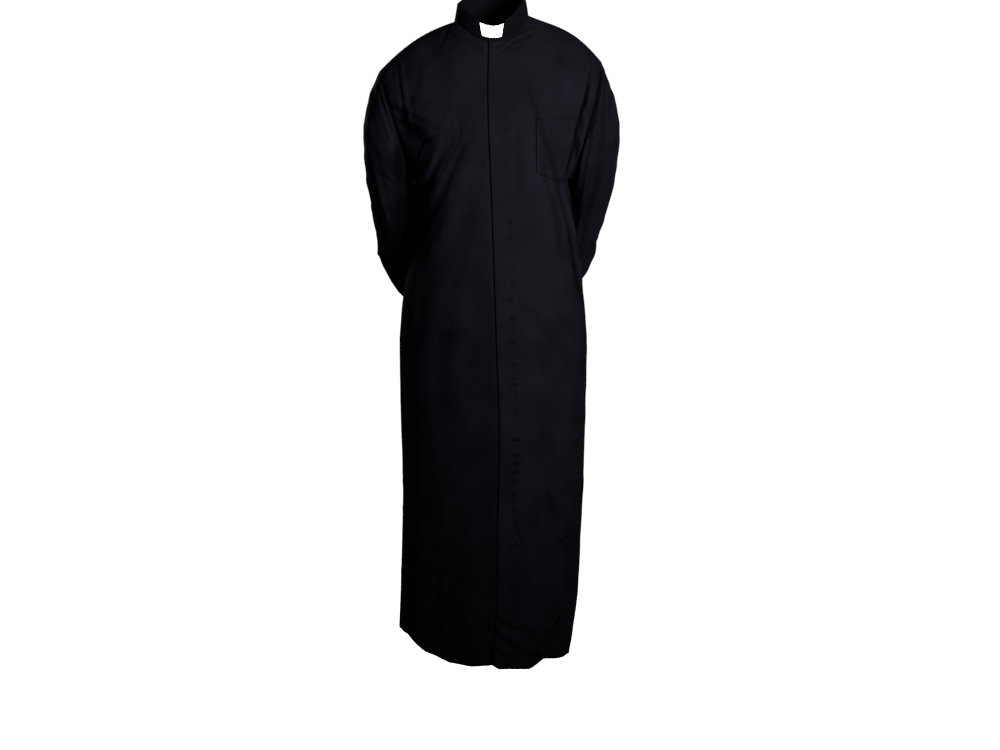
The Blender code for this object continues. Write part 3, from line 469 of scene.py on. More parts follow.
# %% The fine folds of the front, from the neck down to the hem
FRONT_FOLDS = [
    # drag lines under the collar's seam
    (78, -34, 18, -68, 4, 3.4, 2.6, 1.8, 0.3),
    (70, -46, 20, -74, 3, 3.6, -3, -2, 0.2),
    (50, -66, 16, -88, 2, 3.4, -1.8, -1.2, 0.2),
    (-74, -42, -18, -74, -4, 4.4, 1.8, 1.4, -0.3),
    (-68, -52, -24, -80, -3, 5, -1.6, -1.2, 0),
    # the right chest: cloth pulled from the armpit down toward the waist
    (-180, -184, -112, -222, -1, 7.5, 3, 1, 0.2),
    (-182, -200, -110, -236, -1, 7, -5.6, -1.6, 0.2),
    (-176, -226, -148, -250, 0, 13, -9, -6, 0),
    (-107, -243, -157, -291, 13, 4, -2.2, -3.8, 0.3),
    (-107, -236, -147, -335, -5, 8, 2.8, 4.6, 0.4),
    (-95, -274, -150, -380, 3, 6.2, -2.2, -4.4, 0.3),
    (-84, -285, -148, -406, -3, 7.5, 1.8, 3.6, 0.3),
    (-86, -318, -140, -430, -4, 7.5, -1.6, -2.6, 0),
    (-72, -227, -79, -266, -5, 3, -2.8, -1.2, 0.3),
    (-112, -270, -126, -296, 2, 3.2, 1.2, 1.4, 0),
    (-60, -300, -120, -470, -10, 14, 1.2, 3, 0),
    (-16, -262, -19, -290, 0, 6, -1, -0.6, 0),
    (-134, -471, -143, -505, 2, 6, -1.8, -1.2, 0),
    # the right shoulder
    (-90, -10, -114, -84, 0, 12, 3.6, 2.6, 0),
    (-184, -119, -173, -200, 0, 5.8, 2.2, 3.4, 0.3),
    (-191, -132, -181, -207, 0, 3.4, -1.8, -3.6, 0.3),
    (-150, -108, -174, -180, -6, 8.5, -1.4, -2.4, 0),
    (-211, -113, -225, -135, 0, 5.5, 1.8, 1.4, 0),
    (-130, -100, -96, -170, 6, 13, 1, 0.6, 0),
    # the left shoulder and armpit
    (194, -93, 188, -112, 0, 4.2, -2.4, -1.4, 0),
    (201, -110, 191, -174, -1, 4.4, -2.6, -3.6, 0.3),
    (202, -143, 218, -124, 1, 3.4, -1.8, -1.2, 0.2),
    (208, -150, 178, -292, 2, 5.2, 2.6, 3.8, 0.3),
    (188, -180, 160, -290, 3, 5, -7.2, -5.6, 0.3),
    (172, -168, 187, -186, 1, 2.8, -1.8, -1.2, 0.2),
    (178, -110, 170, -204, -4, 6.5, 1.4, 2.4, 0),
    (136, -199, 145, -214, 0, 3, -1.6, -1, 0.2),
    (145, -201, 165, -217, -9, 3.4, 1.8, 1.4, 0.2),
    # the left chest, across the pocket
    (105, -238, 190, -541, -7, 4.8, 3.6, 5.2, 0.3),
    (94, -238, 180, -541, -7, 6.2, -2.2, -3.6, 0),
    (133, -318, 142, -344, 0, 4.4, 1.4, 1, 0.2),
    (150, -378, 161, -416, 0, 4.6, 1.2, 1.2, 0.2),
    (154, -362, 166, -398, 0, 5, -2.6, -2.2, 0),
    (103, -330, 133, -449, -7, 10, -2, -2.4, 0),
    (100, -266, 103, -288, 1, 4.5, -1.4, -1, 0),
    (68, -226, 70, -320, 2, 9.5, 1.4, 1.2, 0),
    (48, -246, 48, -326, 2, 8.5, -1.3, -1, 0),
    (19, -362, 33, -366, 0, 2.4, -1.2, -0.8, 0),
    (160, -440, 172, -540, 4, 8, -1.8, -2, 0),
    # waist to knee: long and very soft
    (-110, -420, -150, -620, 6, 12, -1.6, -2.2, 0),
    (-60, -470, -100, -700, 8, 20, -1.2, -1.6, 0),
    (-148, -470, -165, -600, 3, 7, 2.2, 1.2, 0.2),
    (100, -640, 176, -720, 6, 17, -2, -1.2, 0),
    (150, -560, 186, -650, 4, 10, 1.4, 1.4, 0),
    (70, -600, 120, -620, 6, 16, -1.4, -0.8, 0),
    (-20, -640, -90, -655, 8, 20, -1.4, -1, 0),
    (110, -860, 140, -940, 6, 20, -1.4, -1.6, 0),
    (-130, -760, -110, -980, 8, 18, 1.4, 1.8, 0),
    (-50, -820, -70, -1100, 10, 22, 1.4, 2, 0),
    # knee to hem
    (-186, -1022, -168, -1036, 1, 4, -3.2, -1.6, 0),
    (-180, -1060, -184, -1270, 1, 4.5, 1.9, 3.5, 0),
    (112, -990, 128, -1020, 2, 12, -3, -2.2, 0),
    (158, -1086, 122, -1102, -2, 3.2, 3.8, 2.2, 0.4),
    (152, -1080, 126, -1094, -1, 3.6, -3.5, -1.9, 0),
    (124, -1104, 98, -1200, 6, 5.4, 2.9, 1, 0),
    (164, -1205, 110, -1272, -3, 3.6, 4.2, 2.6, 0.3),
    (152, -1230, 106, -1292, -2, 4.9, -4.5, -2.6, 0),
    (166, -1262, 128, -1310, -2, 4.5, 2.9, 1.9, 0),
    (40, -1042, 52, -1074, 2, 3.1, -3.5, -2.2, 0.3),
    (46, -1038, 60, -1068, 2, 3.2, 3.2, 1.6, 0.2),
    (40, -1082, 50, -1094, 1, 4.5, -2.9, -1.6, 0),
    (2, -1238, 44, -1258, 4, 5.4, -3.2, -4.2, 0),
    (0, -1270, 88, -1322, 6, 5.4, -3.5, -4.8, 0.2),
    (4, -1256, 74, -1300, 6, 4.9, 2.9, 3.2, 0),
    (6, -1306, 30, -1322, 2, 4.5, -2.9, -2.2, 0),
    (56, -1256, 86, -1292, 2, 6.3, -2.9, -2.2, 0),
    (-10, -1048, -24, -1052, 1, 2.7, 1.9, 1, 0),
    (-120, -1180, -128, -1330, 4, 12, -2.5, -3.7, 0),
    (-40, -1180, -46, -1330, 3, 14, 1.8, 3.5, 0),
]
print("front:", len(FRONT_FOLDS), "fine folds")

# %% The fine folds of the back, which the arms and the shoulder blades pull on
BACK_FOLDS = [
    (176, -150, 110, -250, 8, 11, 3, 2, 0.2),
    (168, -190, 96, -320, 10, 9, -2.6, -2, 0),
    (-178, -160, -112, -262, -8, 10.5, 3.4, 2, 0.2),
    (-168, -205, -98, -330, -10, 8.5, -2.8, -1.8, 0),
    (150, -330, 84, -420, 8, 8, 3, 1.6, 0.3),
    (152, -362, 90, -450, 8, 6.5, -2.4, -1.4, 0),
    (-150, -345, -90, -430, -8, 8, 2.8, 1.8, 0.3),
    (-148, -376, -94, -466, -6, 6, -2.4, -1.4, 0),
    (-60, -60, -110, -150, 6, 12, 1.6, 2.2, 0),
    (58, -52, 104, -140, -6, 12, 1.6, 2, 0),
    (-40, -20, 44, -18, 6, 4.5, -1.2, -1, 0.2),
    (10, -260, -12, -450, 6, 14, -1.6, -2.4, 0),
    (-110, -470, 20, -492, 12, 8, 1.8, 1, 0.3),
    (126, -486, 14, -512, 10, 9, 1.8, 0.8, 0.3),
    (-120, -512, -20, -540, 10, 7.5, -1.8, -0.8, 0),
    (130, -530, 40, -560, 8, 8, -1.8, -0.8, 0),
    (40, -500, 52, -760, 6, 14, -2, -2.4, 0),
    (-80, -540, -74, -800, 6, 13, 1.8, 2, 0),
    (150, -560, 162, -820, 4, 10, -1.8, -2.2, 0),
    (-150, -580, -160, -900, 4, 10, -1.6, -2.4, 0),
    (34, -900, 40, -1320, 6, 12, 1.6, 3.4, 0),
    (-16, -860, -22, -1320, 6, 11, -1.4, -3, 0),
    (-78, -960, -84, -1320, 4, 10, 1.4, 3.2, 0),
    (-140, -940, -150, -1300, 4, 10, -1.4, -3, 0),
    (98, -980, 104, -1330, 4, 10, -1.6, -3.2, 0),
    (150, -1000, 158, -1340, 4, 8.5, 1.4, 2.8, 0),
    (60, -1180, 116, -1226, 6, 7, -1.6, -0.8, 0),
    (-120, -1140, -60, -1196, 6, 8, 1.6, 0.8, 0),
]
print("back:", len(BACK_FOLDS), "fine folds")


# %% The body's finished surface
FOLDS = {-1: (FRONT_FOLDS, LARGE_FRONT, 3), +1: (BACK_FOLDS, LARGE_BACK, 7)}


def off_the_seams(u, v):
    """0 on the sewn edges at the sides and the top, rising to 1 just inside them."""
    return ease((1 - np.abs(u)) / 0.05) * ease((1 - v) / 0.03)


def body_relief(u, v, face, x, z):
    """Large folds + fine folds + unevenness, all faded to nothing along the sewn edges."""
    folds, large_folds, seed = FOLDS[face]
    large = large_relief(x, z, large_folds) * (1 - np.abs(u) ** 6) * np.clip((1 - v) / 0.08, 0, 1)
    soft = rumple(x, z * 0.7, 0.075, 0.00055, 11 + face) + rumple(x, z * 0.8, 0.028, 0.00016, 15 + face)
    return large + (fold_relief(x, z, folds, seed) + soft) * off_the_seams(u, v)


ARMHOLE_SINK = {-1: 0.0044, +1: 0.0062}
SINK_WIDTH = 0.0060


def armhole_sink(points):
    """Points drawn back beside each armhole seam's front: depth x exp(-(distance / width)^2)."""
    drawn = points.copy()
    angle = np.linspace(0, np.pi, 90)
    window = ease((np.degrees(angle) - 12) / 26) * ease((168 - np.degrees(angle)) / 40)
    for side, depth in ARMHOLE_SINK.items():
        seam = armhole(angle, side)
        for row in range(points.shape[0]):
            apart = np.linalg.norm(points[row][:, None, :] - seam[None, :, :], axis=-1)
            nearest = apart.argmin(-1)
            bell = np.exp(-(apart.min(-1) / SINK_WIDTH) ** 2)
            drawn[row, :, 1] += depth * window[nearest] * bell
    return drawn


def body_surface(u, v, face):
    """Outer points of the robe's body and their outward directions: plain form + normal x relief."""
    u, v = np.broadcast_arrays(np.asarray(u, float), np.asarray(v, float))
    plain = plain_body(u, v, face)
    normal = body_normal(u, v, face)
    relief = body_relief(u, v, face, plain[..., 0], plain[..., 2])
    return armhole_sink(plain + normal * relief[..., None]), normal


print("armholes drawn in by", ARMHOLE_SINK)

# %% Painted shade in the creases and beside the arms
DEEP_CREASE = 0.0045         # a trough this deep is fully shaded
# Places between the arms and the chest where little light reaches, darkened as painted shade:
# x, z, half width, half height and depth of each oval.
DIM_PLACES = [
    (-0.163, -0.236, 0.026, 0.024, 0.92),
    (-0.152, -0.290, 0.022, 0.050, 0.60),
    (-0.170, -0.330, 0.016, 0.090, 0.85),
    (-0.194, -0.300, 0.014, 0.060, 0.90),
    (-0.190, -0.410, 0.022, 0.080, 0.90),
    (-0.254, -0.310, 0.026, 0.120, 0.85),
    (-0.245, -0.215, 0.016, 0.070, 0.60),
    (-0.222, -0.340, 0.030, 0.120, 0.40),
    (0.228, -0.300, 0.036, 0.160, 0.28),
    (0.180, -0.214, 0.006, 0.030, 0.80),
    (0.172, -0.262, 0.007, 0.036, 0.90),
    (0.176, -0.330, 0.009, 0.050, 0.80),
]


def crease_shade(relief):
    """Painted shade of a crease: the share of a fully shaded trough, from 0 on a ridge to 1."""
    return np.clip(-relief / DEEP_CREASE, 0, 1)


def dim_places(x, z):
    """Painted shade of the soft-edged ovals: the deepest of them at (x, z)."""
    ovals = [depth * np.exp(-(((x - x0) / wide) ** 2 + ((z - z0) / tall) ** 2) ** 1.6)
             for x0, z0, wide, tall, depth in DIM_PLACES]
    return np.max(ovals, axis=0)


def deepest(*shades):
    """The largest of several shades at each point."""
    return np.max(np.broadcast_arrays(*shades), axis=0)


def seam_shade(plain):
    """Painted shade beside the armhole seams: the square of the sink's share of its largest depth."""
    return (np.linalg.norm(armhole_sink(plain) - plain, axis=-1) / max(ARMHOLE_SINK.values())) ** 2


def body_shade(u, v, face):
    """Painted shade: the fine folds' creases, and the armhole's seam and dim places where those are deeper.
    """
    plain = plain_body(u, v, face)
    x, z = plain[..., 0], plain[..., 2]
    folds, _, seed = FOLDS[face]
    fine = crease_shade(fold_relief(x, z, folds, seed) * off_the_seams(u, v))
    return deepest(fine, seam_shade(plain), dim_places(x, z) if face < 0 else 0.0)


print("dim places:", len(DIM_PLACES))

# %% [markdown]
# ## From a grid of points to cloth
# Every panel is a grid: rows up the robe, columns across it. The grid becomes a mesh with a
# UV map in metres of cloth, so that the weave runs straight up the grain and keeps its size
# over every fold. Two more numbers ride along on each point: how far it lies from a
# stitched edge, and how far along that edge. The finish draws the stitches from them. A third
# is painted shade, from 0 to 1: the finish darkens the colour there to stand for the shade in
# creases, beside the arms and along edges.
# Solidify then gives the open sheet its thickness, inward, so the outer face stays in place.

# %% A grid's faces and lengths
def grid_faces(rows, columns, closed):
    """Four corners of each cell: (r, c), (r, c+1), (r+1, c+1), (r+1, c); c wraps on a tube."""
    row = np.arange(rows - 1)[:, None]
    here = np.arange(columns if closed else columns - 1)[None, :]
    after = (here + 1) % columns
    corners = (row * columns + here, row * columns + after,
               (row + 1) * columns + after, (row + 1) * columns + here)
    return np.stack(corners, -1).reshape(-1, 4)


def lengths_along(points, axis):
    """Running total of the distances between neighbours along one axis of the grid, from zero."""
    steps = np.linalg.norm(np.diff(points, axis=axis), axis=-1)
    start = np.zeros_like(np.take(steps, [0], axis=axis))
    return np.cumsum(np.concatenate([start, steps], axis=axis), axis=axis)


print("faces on 3 x 4 points:", len(grid_faces(3, 4, False)), "or as a tube", len(grid_faces(3, 4, True)))

# %% One sheet of cloth
NO_STITCH = 1.0              # a distance that no stitch reaches


def sheet_of_cloth(name, points, outward, thickness, closed=False, stitches=None, shade=0.0):
    """A mesh from a grid, facing `outward`, with UVs in metres, stitch and painted-shade attributes and
    Solidify.
    """
    rows, columns = points.shape[:2]
    faces = grid_faces(rows, columns, closed)
    wrapped = np.concatenate([points, points[:, :1]], axis=1) if closed else points
    width = lengths_along(wrapped, 1)
    width = width - width[:, width.shape[1] // 2][:, None]
    height = lengths_along(wrapped, 0)
    r, c = faces[:, 0] // columns, faces[:, 0] % columns
    corner_rows = np.stack([r, r, r + 1, r + 1], -1)
    corner_columns = np.stack([c, c + 1, c + 1, c], -1)
    uv = np.stack([width[corner_rows, corner_columns], height[corner_rows, corner_columns]], -1)
    middle = len(faces) // 2
    flat = points.reshape(-1, 3)
    a, b, d = flat[faces[middle, 0]], flat[faces[middle, 1]], flat[faces[middle, 3]]
    if np.dot(np.cross(b - a, d - a), outward.reshape(-1, 3)[faces[middle, 0]]) < 0:
        faces, uv = faces[:, ::-1], uv[:, ::-1]
    mesh = bpy.data.meshes.new(name)
    mesh.from_pydata(flat.tolist(), [], faces.tolist())
    mesh.shade_smooth()
    layer = mesh.uv_layers.new(name="cloth")
    layer.data.foreach_set("uv", uv.reshape(-1).astype(np.float32))
    off, run = stitches if stitches else (np.full((rows, columns), NO_STITCH), np.zeros((rows, columns)))
    for label, values in (("stitch_off", off), ("stitch_run", run), ("shade", shade)):
        attribute = mesh.attributes.new(label, "FLOAT", "POINT")
        numbers = np.broadcast_to(values, (rows, columns)).ravel()
        attribute.data.foreach_set("value", numbers.astype(np.float32))
    piece = bpy.data.objects.new(name, mesh)
    bpy.context.scene.collection.objects.link(piece)
    wall = piece.modifiers.new("wall", "SOLIDIFY")
    wall.thickness = thickness
    wall.offset = -1
    wall.use_quality_normals = True
    area = np.linalg.norm(np.cross(flat[faces[:, 1]] - flat[faces[:, 0]],
                                   flat[faces[:, 3]] - flat[faces[:, 0]]), axis=1).sum()
    print("%s: %d x %d points, %.3f m2, %.3f m wide, %.3f m long" % (
        name, rows, columns, area, np.ptp(width, axis=1).max(), height[-1].max()))
    return piece


def stands_for(piece, node, flat, area):
    """Ties a sheet to the frame: hides the node it replaces and hangs the sheet on the root body; flat and
    area are not used.
    """
    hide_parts(node)
    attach(piece, "root")


# %% Rows and columns shared by the panels
def row_shares(skirt, chest, yoke):
    """Shares v with whole numbers of rows on the skirt, chest and shoulders."""
    return np.concatenate([np.linspace(0, ARMPIT_V, skirt + 1),
                           np.linspace(ARMPIT_V, YOKE_V, chest + 1)[1:],
                           np.linspace(YOKE_V, 1, yoke + 1)[1:]])


FINE = 1
ROWS = row_shares(250 // FINE, 60 // FINE, 44 // FINE)
NECK_COLUMNS = 24 // FINE
SIDE_COLUMNS = 44 // FINE
SEAM_GAP = 0.00004          # sewn edges of the shells all but touch
AT_EDGE = 0.9999            # a share past this is on the panel's edge
print("rows up each panel:", len(ROWS))


def edge_shift(u, v, face):
    """Half the sewn seam's gap: back from the seam's middle at the sides, armholes and shoulders."""
    at_side = np.abs(u) > AT_EDGE
    sign = np.sign(u)
    still = np.zeros(u.shape)
    along_y = stack(still, still + face * SEAM_GAP / 2, still)
    arm = stack(sign * ARM_DIRECTION[0], still, still + ARM_DIRECTION[2]) * -SEAM_GAP / 2
    shift = np.where((at_side & (v < ARMPIT_V))[..., None], along_y, 0.0)
    shift = np.where((at_side & (v >= ARMPIT_V))[..., None], arm, shift)
    top = (v > AT_EDGE) & (np.abs(u) >= NECK_SHARE) & ~at_side
    return np.where(top[..., None], along_y, shift)


# %% [markdown]
# ## The back
# One wide panel from side seam to side seam. Its folds are hidden in most views of a robe
# like this, so they follow what cloth does there: it hangs from the shoulder blades, crosses
# in soft drag lines at the waist, where the held arms push it, and falls in flutes to the hem.

# %% Making the back
def neck_and_side(neck_start):
    """Shares from a start out to the neck's corner, then on to the side."""
    return np.concatenate([np.linspace(neck_start, NECK_SHARE, NECK_COLUMNS + 1),
                           np.linspace(NECK_SHARE, 1, SIDE_COLUMNS + 1)[1:]])


def panel(name, node, u, v, points, normal, face, flat, area, shade):
    """A panel of the body, its edges set half a seam's gap back, tied to the frame."""
    cloth = sheet_of_cloth(name, points + edge_shift(u, v, face), normal, CLOTH, shade=shade)
    stands_for(cloth, node, flat, area)
    return cloth


half = neck_and_side(0.0)
back_u, back_v = np.meshgrid(np.concatenate([-half[:0:-1], half]), ROWS)
back_cloth = panel("back_cloth", "back", back_u, back_v, *body_surface(back_u, back_v, +1), +1,
                   (0.62, 1.42), 0.66, body_shade(back_u, back_v, +1))

# %% [markdown]
# ## The fly
# The buttons of this robe are hidden. The left front carries a placket, a strip folded along
# its free edge and stitched down 33 mm away. The right front slips under it. The fold is
# a rounded edge with a real underside, so a light that grazes the chest shows a crisp dark
# line there. Painted shade along the fold, on the strip and on the right front under it,
# darkens that line further.

# %% The folded edge's line, and marks at a set distance from it
FLY = table("z x", [
    (-1.345, -0.0086),
    (-1.200, 0.0020),
    (-1.000, 0.0040),
    (-0.883, 0.0074),
    (-0.668, 0.0020),
    (-0.530, -0.0020),
    (-0.375, -0.0068),
    (-0.154, -0.0130),
    (-0.060, -0.0100),
])
PLACKET_WIDTH = 0.0335
PLACKET_RISE = 0.0008        # how far the strip stands off the front
STRIP_DIVE = 0.0003          # how far its stitched edge sinks in
UNDERLAP_STEP = 0.0024       # how far the right front lies below the left
UNDERLAP_END = 0.0295        # how far it runs on past the folded edge


def fly_offset(points):
    """How far points of the front lie to the left of the folded edge."""
    return points[..., 0] - smooth(FLY["z"], FLY["x"], points[..., 2])


def fly_share(offset, v):
    """The share u where the front passes `offset` metres left of the folded edge, by Newton's steps."""
    u = np.zeros_like(v)
    for _ in range(12):
        here = plain_body(u, v, -1)
        slope = (plain_body(u + 0.002, v, -1) - here)[..., 0] / 0.002
        u = u + (offset - fly_offset(here)) / slope
    return u


def front_shares(start, side):
    """Columns from the start line through the neck's corner to the side, as shares u."""
    return side * np.stack([neck_and_side(side * first) for first in start])


# %% Puckers that the stitching draws up along the placket
STITCH_INSET = 0.001         # from the strip's edge to its stitches
# The hollows between puckers are darkened with painted shade.
PUCKER_FULL_SHADE = 0.0010         # a hollow this deep between two puckers is fully shaded
PUCKER_PITCH = 0.0105        # from one wave along the seam to the next
PUCKERS_GROW_FROM = -0.30    # below this height the puckers grow
PUCKERS_GROW_OVER = 0.35     # to their full size, over this distance
SEAM_REACH = 0.0052          # half width of the waves at the stitched seam
FOLD_REACH = 0.0050          # and at the folded edge
TACK_TILT = 0.15             # the tacks' dimples lean by this slope
# Height and depth of each place where the stitches pull hardest.
TACKS = [
    (-0.575, 0.0015), (-0.614, 0.0012), (-0.665, 0.0017), (-0.710, 0.0014), (-0.751, 0.0017),
    (-0.864, 0.0028), (-0.895, 0.0016), (-0.912, 0.0013), (-0.931, 0.0015), (-0.949, 0.0012),
    (-0.976, 0.0015), (-1.010, 0.0010), (-1.085, 0.0017), (-1.120, 0.0010), (-1.172, 0.0013),
    (-0.418, 0.0012), (-0.452, 0.0008), (-0.232, 0.0006), (-0.300, 0.0006),
]


def pucker_relief(offset, z):
    """Short waves up the seam, bell-shaped across it, plus a dimple of given depth at each tack."""
    low = ease((PUCKERS_GROW_FROM - z) / PUCKERS_GROW_OVER)
    pitch = 2 * np.pi / PUCKER_PITCH
    wave = np.sin(pitch * z + 1.4 * wander(z / 0.02, 21)) * (0.70 + 0.40 * wander(z / 0.06, 22) ** 2)
    at_seam = np.exp(-((offset - PLACKET_WIDTH) / SEAM_REACH) ** 2)
    at_fold = np.exp(-((offset - 0.002) / FOLD_REACH) ** 2)
    relief = wave * (0.00022 + 0.00062 * low) * at_seam
    fold_wave = np.sin(pitch * 0.8 * z + 1.1) * (0.5 + 0.5 * wander(z / 0.05, 23))
    relief += fold_wave * (0.00008 + 0.00040 * low) * at_fold
    inside = offset - PLACKET_WIDTH + STITCH_INSET
    for height, depth in TACKS:
        tilt = (z - height) - TACK_TILT * (offset - PLACKET_WIDTH)
        relief -= depth * np.exp(-(inside / 0.0075) ** 2 - (tilt / 0.0034) ** 2)
        relief += 0.6 * depth * np.exp(-(inside / 0.0085) ** 2 - ((tilt - 0.0075) / 0.0042) ** 2)
    return relief


def pucker_shade(relief):
    """Painted shade in the hollows between puckers: 0.6 of the share of a fully shaded hollow."""
    return 0.6 * np.clip(-relief / PUCKER_FULL_SHADE, 0, 1)


def seam_ditch(offset):
    """The hollow along the stitching: 0.15 mm deep, 3 mm to each side."""
    return -0.00015 * np.exp(-((offset - PLACKET_WIDTH + STITCH_INSET) / 0.0030) ** 2)


print("placket:", len(TACKS), "tacks")


# %% Making the left front
def left_front_surface(u, v):
    """The front's surface with the placket's puckers and seam hollow added beside the fly."""
    points, normal = body_surface(u, v, -1)
    offset = fly_offset(points)
    relief = (pucker_relief(offset, points[..., 2]) + seam_ditch(offset)) * ease((1 - v) / 0.02)
    relief -= 0.0006 * ease((PLACKET_WIDTH - 0.0005 - offset) / 0.003)
    return points + normal * relief[..., None], normal, offset


left_u = front_shares(fly_share(PLACKET_WIDTH - 0.0060, ROWS), +1)
left_v = np.broadcast_to(ROWS[:, None], left_u.shape)
left_points, left_normal, left_offset = left_front_surface(left_u, left_v)
left_puckers = pucker_relief(left_offset, left_points[..., 2])
left_shade = deepest(body_shade(left_u, left_v, -1), pucker_shade(left_puckers))
left_front_cloth = panel("left_front_cloth", "front_left", left_u, left_v, left_points, left_normal, -1,
                         (0.30, 1.38), 0.32, left_shade)

# %% Making the right front, which sinks and runs on under the placket
under_offsets = np.linspace(UNDERLAP_END, -0.016, 16)
under_u = np.stack([fly_share(offset, ROWS) for offset in under_offsets], axis=1)
right_u = np.concatenate([under_u[:, :-1], front_shares(under_u[:, -1], -1)], axis=1)
right_v = np.broadcast_to(ROWS[:, None], right_u.shape)
right_points, right_normal = body_surface(right_u, right_v, -1)
right_offset = fly_offset(right_points)
sink = -UNDERLAP_STEP * ease((right_offset + 0.008) / 0.0075)
right_points = right_points + right_normal * sink[..., None]
# Painted shade on the right front: a dark line just under the placket's folded edge, and a wide darker band
# left of the fly below the waist, as if the front turned away from the light.
shade_under_fold = ease((right_offset + 0.0030) / 0.0030)
shade_beside_fly = 0.36 * ease((right_offset + 0.085) / 0.07) * ease((-right_points[..., 2] - 0.42) / 0.25)
right_front_cloth = panel("right_front_cloth", "front_right", right_u, right_v, right_points, right_normal,
                          -1, (0.335, 1.37), 0.37,
                          deepest(body_shade(right_u, right_v, -1), shade_under_fold, shade_beside_fly))

# %% Making the placket: under the fold, round it, and over to the stitching
FOLD_RADIUS = 0.0009
STRIP_CLOTH = 0.0006        # thickness of the placket's and pocket's shells
turn = np.linspace(-np.pi / 2, np.pi / 2, 9)
under = np.linspace(0.008, FOLD_RADIUS, 4)[:-1]
over = np.linspace(FOLD_RADIUS, PLACKET_WIDTH - 0.0001, 20)[1:]
strip_offset = np.concatenate([under, FOLD_RADIUS - FOLD_RADIUS * np.cos(turn), over])
strip_lift = np.concatenate([np.full(3, -2 * FOLD_RADIUS), FOLD_RADIUS * np.sin(turn) - FOLD_RADIUS,
                             np.zeros(len(over))])
STRIP_ROWS = row_shares(400 // FINE, 90 // FINE, 56 // FINE)
strip_u = np.stack([fly_share(offset, STRIP_ROWS) for offset in strip_offset], axis=1)
strip_v = np.broadcast_to(STRIP_ROWS[:, None], strip_u.shape)
strip_points, strip_normal = body_surface(strip_u, strip_v, -1)
strip_across = np.broadcast_to(strip_offset, strip_u.shape)
proud = -STRIP_DIVE + (PLACKET_RISE + STRIP_DIVE) * ease((PLACKET_WIDTH - strip_across) / 0.033)
strip_pucker = pucker_relief(strip_across, strip_points[..., 2]) + seam_ditch(strip_across)
strip_relief = strip_lift + proud + strip_pucker * ease((1 - strip_v) / 0.02)
strip_points = strip_points + strip_normal * strip_relief[..., None]
# Painted shade on the strip: a dark line along the folded edge, the pucker hollows and the front's creases.
strip_shade = deepest(body_shade(strip_u, strip_v, -1), 0.5 * (1 - ease(strip_across / 0.0012)),
                      pucker_shade(pucker_relief(strip_across, strip_points[..., 2])))
placket_strip = sheet_of_cloth("placket_strip", strip_points, strip_normal, STRIP_CLOTH, shade=strip_shade,
                               stitches=(PLACKET_WIDTH - strip_across, lengths_along(strip_points, 0)))
stands_for(placket_strip, "fly_placket", (0.046, 1.34), 0.056)

# %% [markdown]
# ## The chest pocket
# A patch pocket is a flat piece laid on the front and stitched round three sides, with a
# turned hem along the top. It is made from the front's own points, moved out, so the folds
# of the chest run on through it as they do in cloth that is sewn together.

# %% Finding the shares of a place
def locate(x, z):
    """The shares (u, v) where the front passes a place (x, z), by damped Newton's steps."""
    u = np.clip(x / 0.3, -0.9, 0.9)
    lowest = SECTIONS["z"][0]
    v = np.clip((z - lowest) / (NECK_FRONT_Z - lowest), 0.01, 0.98)
    step = 0.002
    for _ in range(24):
        here = plain_body(u, v, -1)
        slope_u = (plain_body(u + step, v, -1) - here)[..., 0] / step
        slope_v = (plain_body(u, v + step, -1) - here)[..., 2] / step
        u = np.clip(u + 0.8 * (x - here[..., 0]) / slope_u, -0.99, 0.99)
        v = np.clip(v + 0.8 * (z - here[..., 2]) / slope_v, 0.0, 0.995)
    return u, v


print("shares of the place (0.1, -0.3):", np.round(locate(np.array([0.1]), np.array([-0.3])), 3).ravel())

# %% Making the pocket
POCKET_INNER_X = 0.0835
POCKET_OUTER_X = (0.166, 0.156)
POCKET_TOP_Z = -0.210
POCKET_SIDE = 0.110
POCKET_POINT = 0.020
POCKET_HEM = 0.024
POCKET_HALF = 0.056          # half its width round the chest, as the stitches count it
HEM_STITCHES = 0.0010        # the hem's stitches lie this far above its lower edge
STITCH_LINE = 0.0011         # added to a distance from a line, so that the stitches fall on it
across, down = np.meshgrid(np.linspace(-1, 1, 61), np.linspace(0, 1, 71))
pocket_width = mix(*POCKET_OUTER_X, down) - POCKET_INNER_X
pocket_x = POCKET_INNER_X + pocket_width * np.sin((across + 1) * np.pi / 4)
pocket_z = POCKET_TOP_Z - POCKET_SIDE * down - POCKET_POINT * (1 - np.abs(across)) * down ** 2
pocket_u, pocket_v = locate(pocket_x, pocket_z)
pocket_base, pocket_normal, _ = left_front_surface(pocket_u, pocket_v)
from_side = (1 - np.abs(across)) * POCKET_HALF
from_bottom = (1 - down) * POCKET_SIDE
from_edge = np.minimum(from_side, from_bottom)
from_top = down * (POCKET_SIDE + POCKET_POINT)
seated = 0.0009 + 0.0011 * ease(from_edge / 0.0022)
hem_step = 0.0004 * (1 - ease((from_top - POCKET_HEM) / 0.0022))
gape = 0.0018 * np.exp(-(from_top / 0.016) ** 2) * ease(from_side / 0.02)
slack = rumple(pocket_x, pocket_z, 0.030, 0.00030, 31) * ease(from_edge / 0.01)
pocket_points = pocket_base + pocket_normal * (seated + hem_step + gape + slack)[..., None]
hem_gap = np.abs(from_top - (POCKET_HEM - HEM_STITCHES)) + STITCH_LINE
pocket_off = np.minimum(from_edge, np.where(from_edge > 0.004, hem_gap, NO_STITCH))
run_across, run_down = lengths_along(pocket_points, 1), lengths_along(pocket_points, 0)
pocket_run = np.where((from_bottom < from_side) | (hem_gap < from_edge), run_across, run_down)
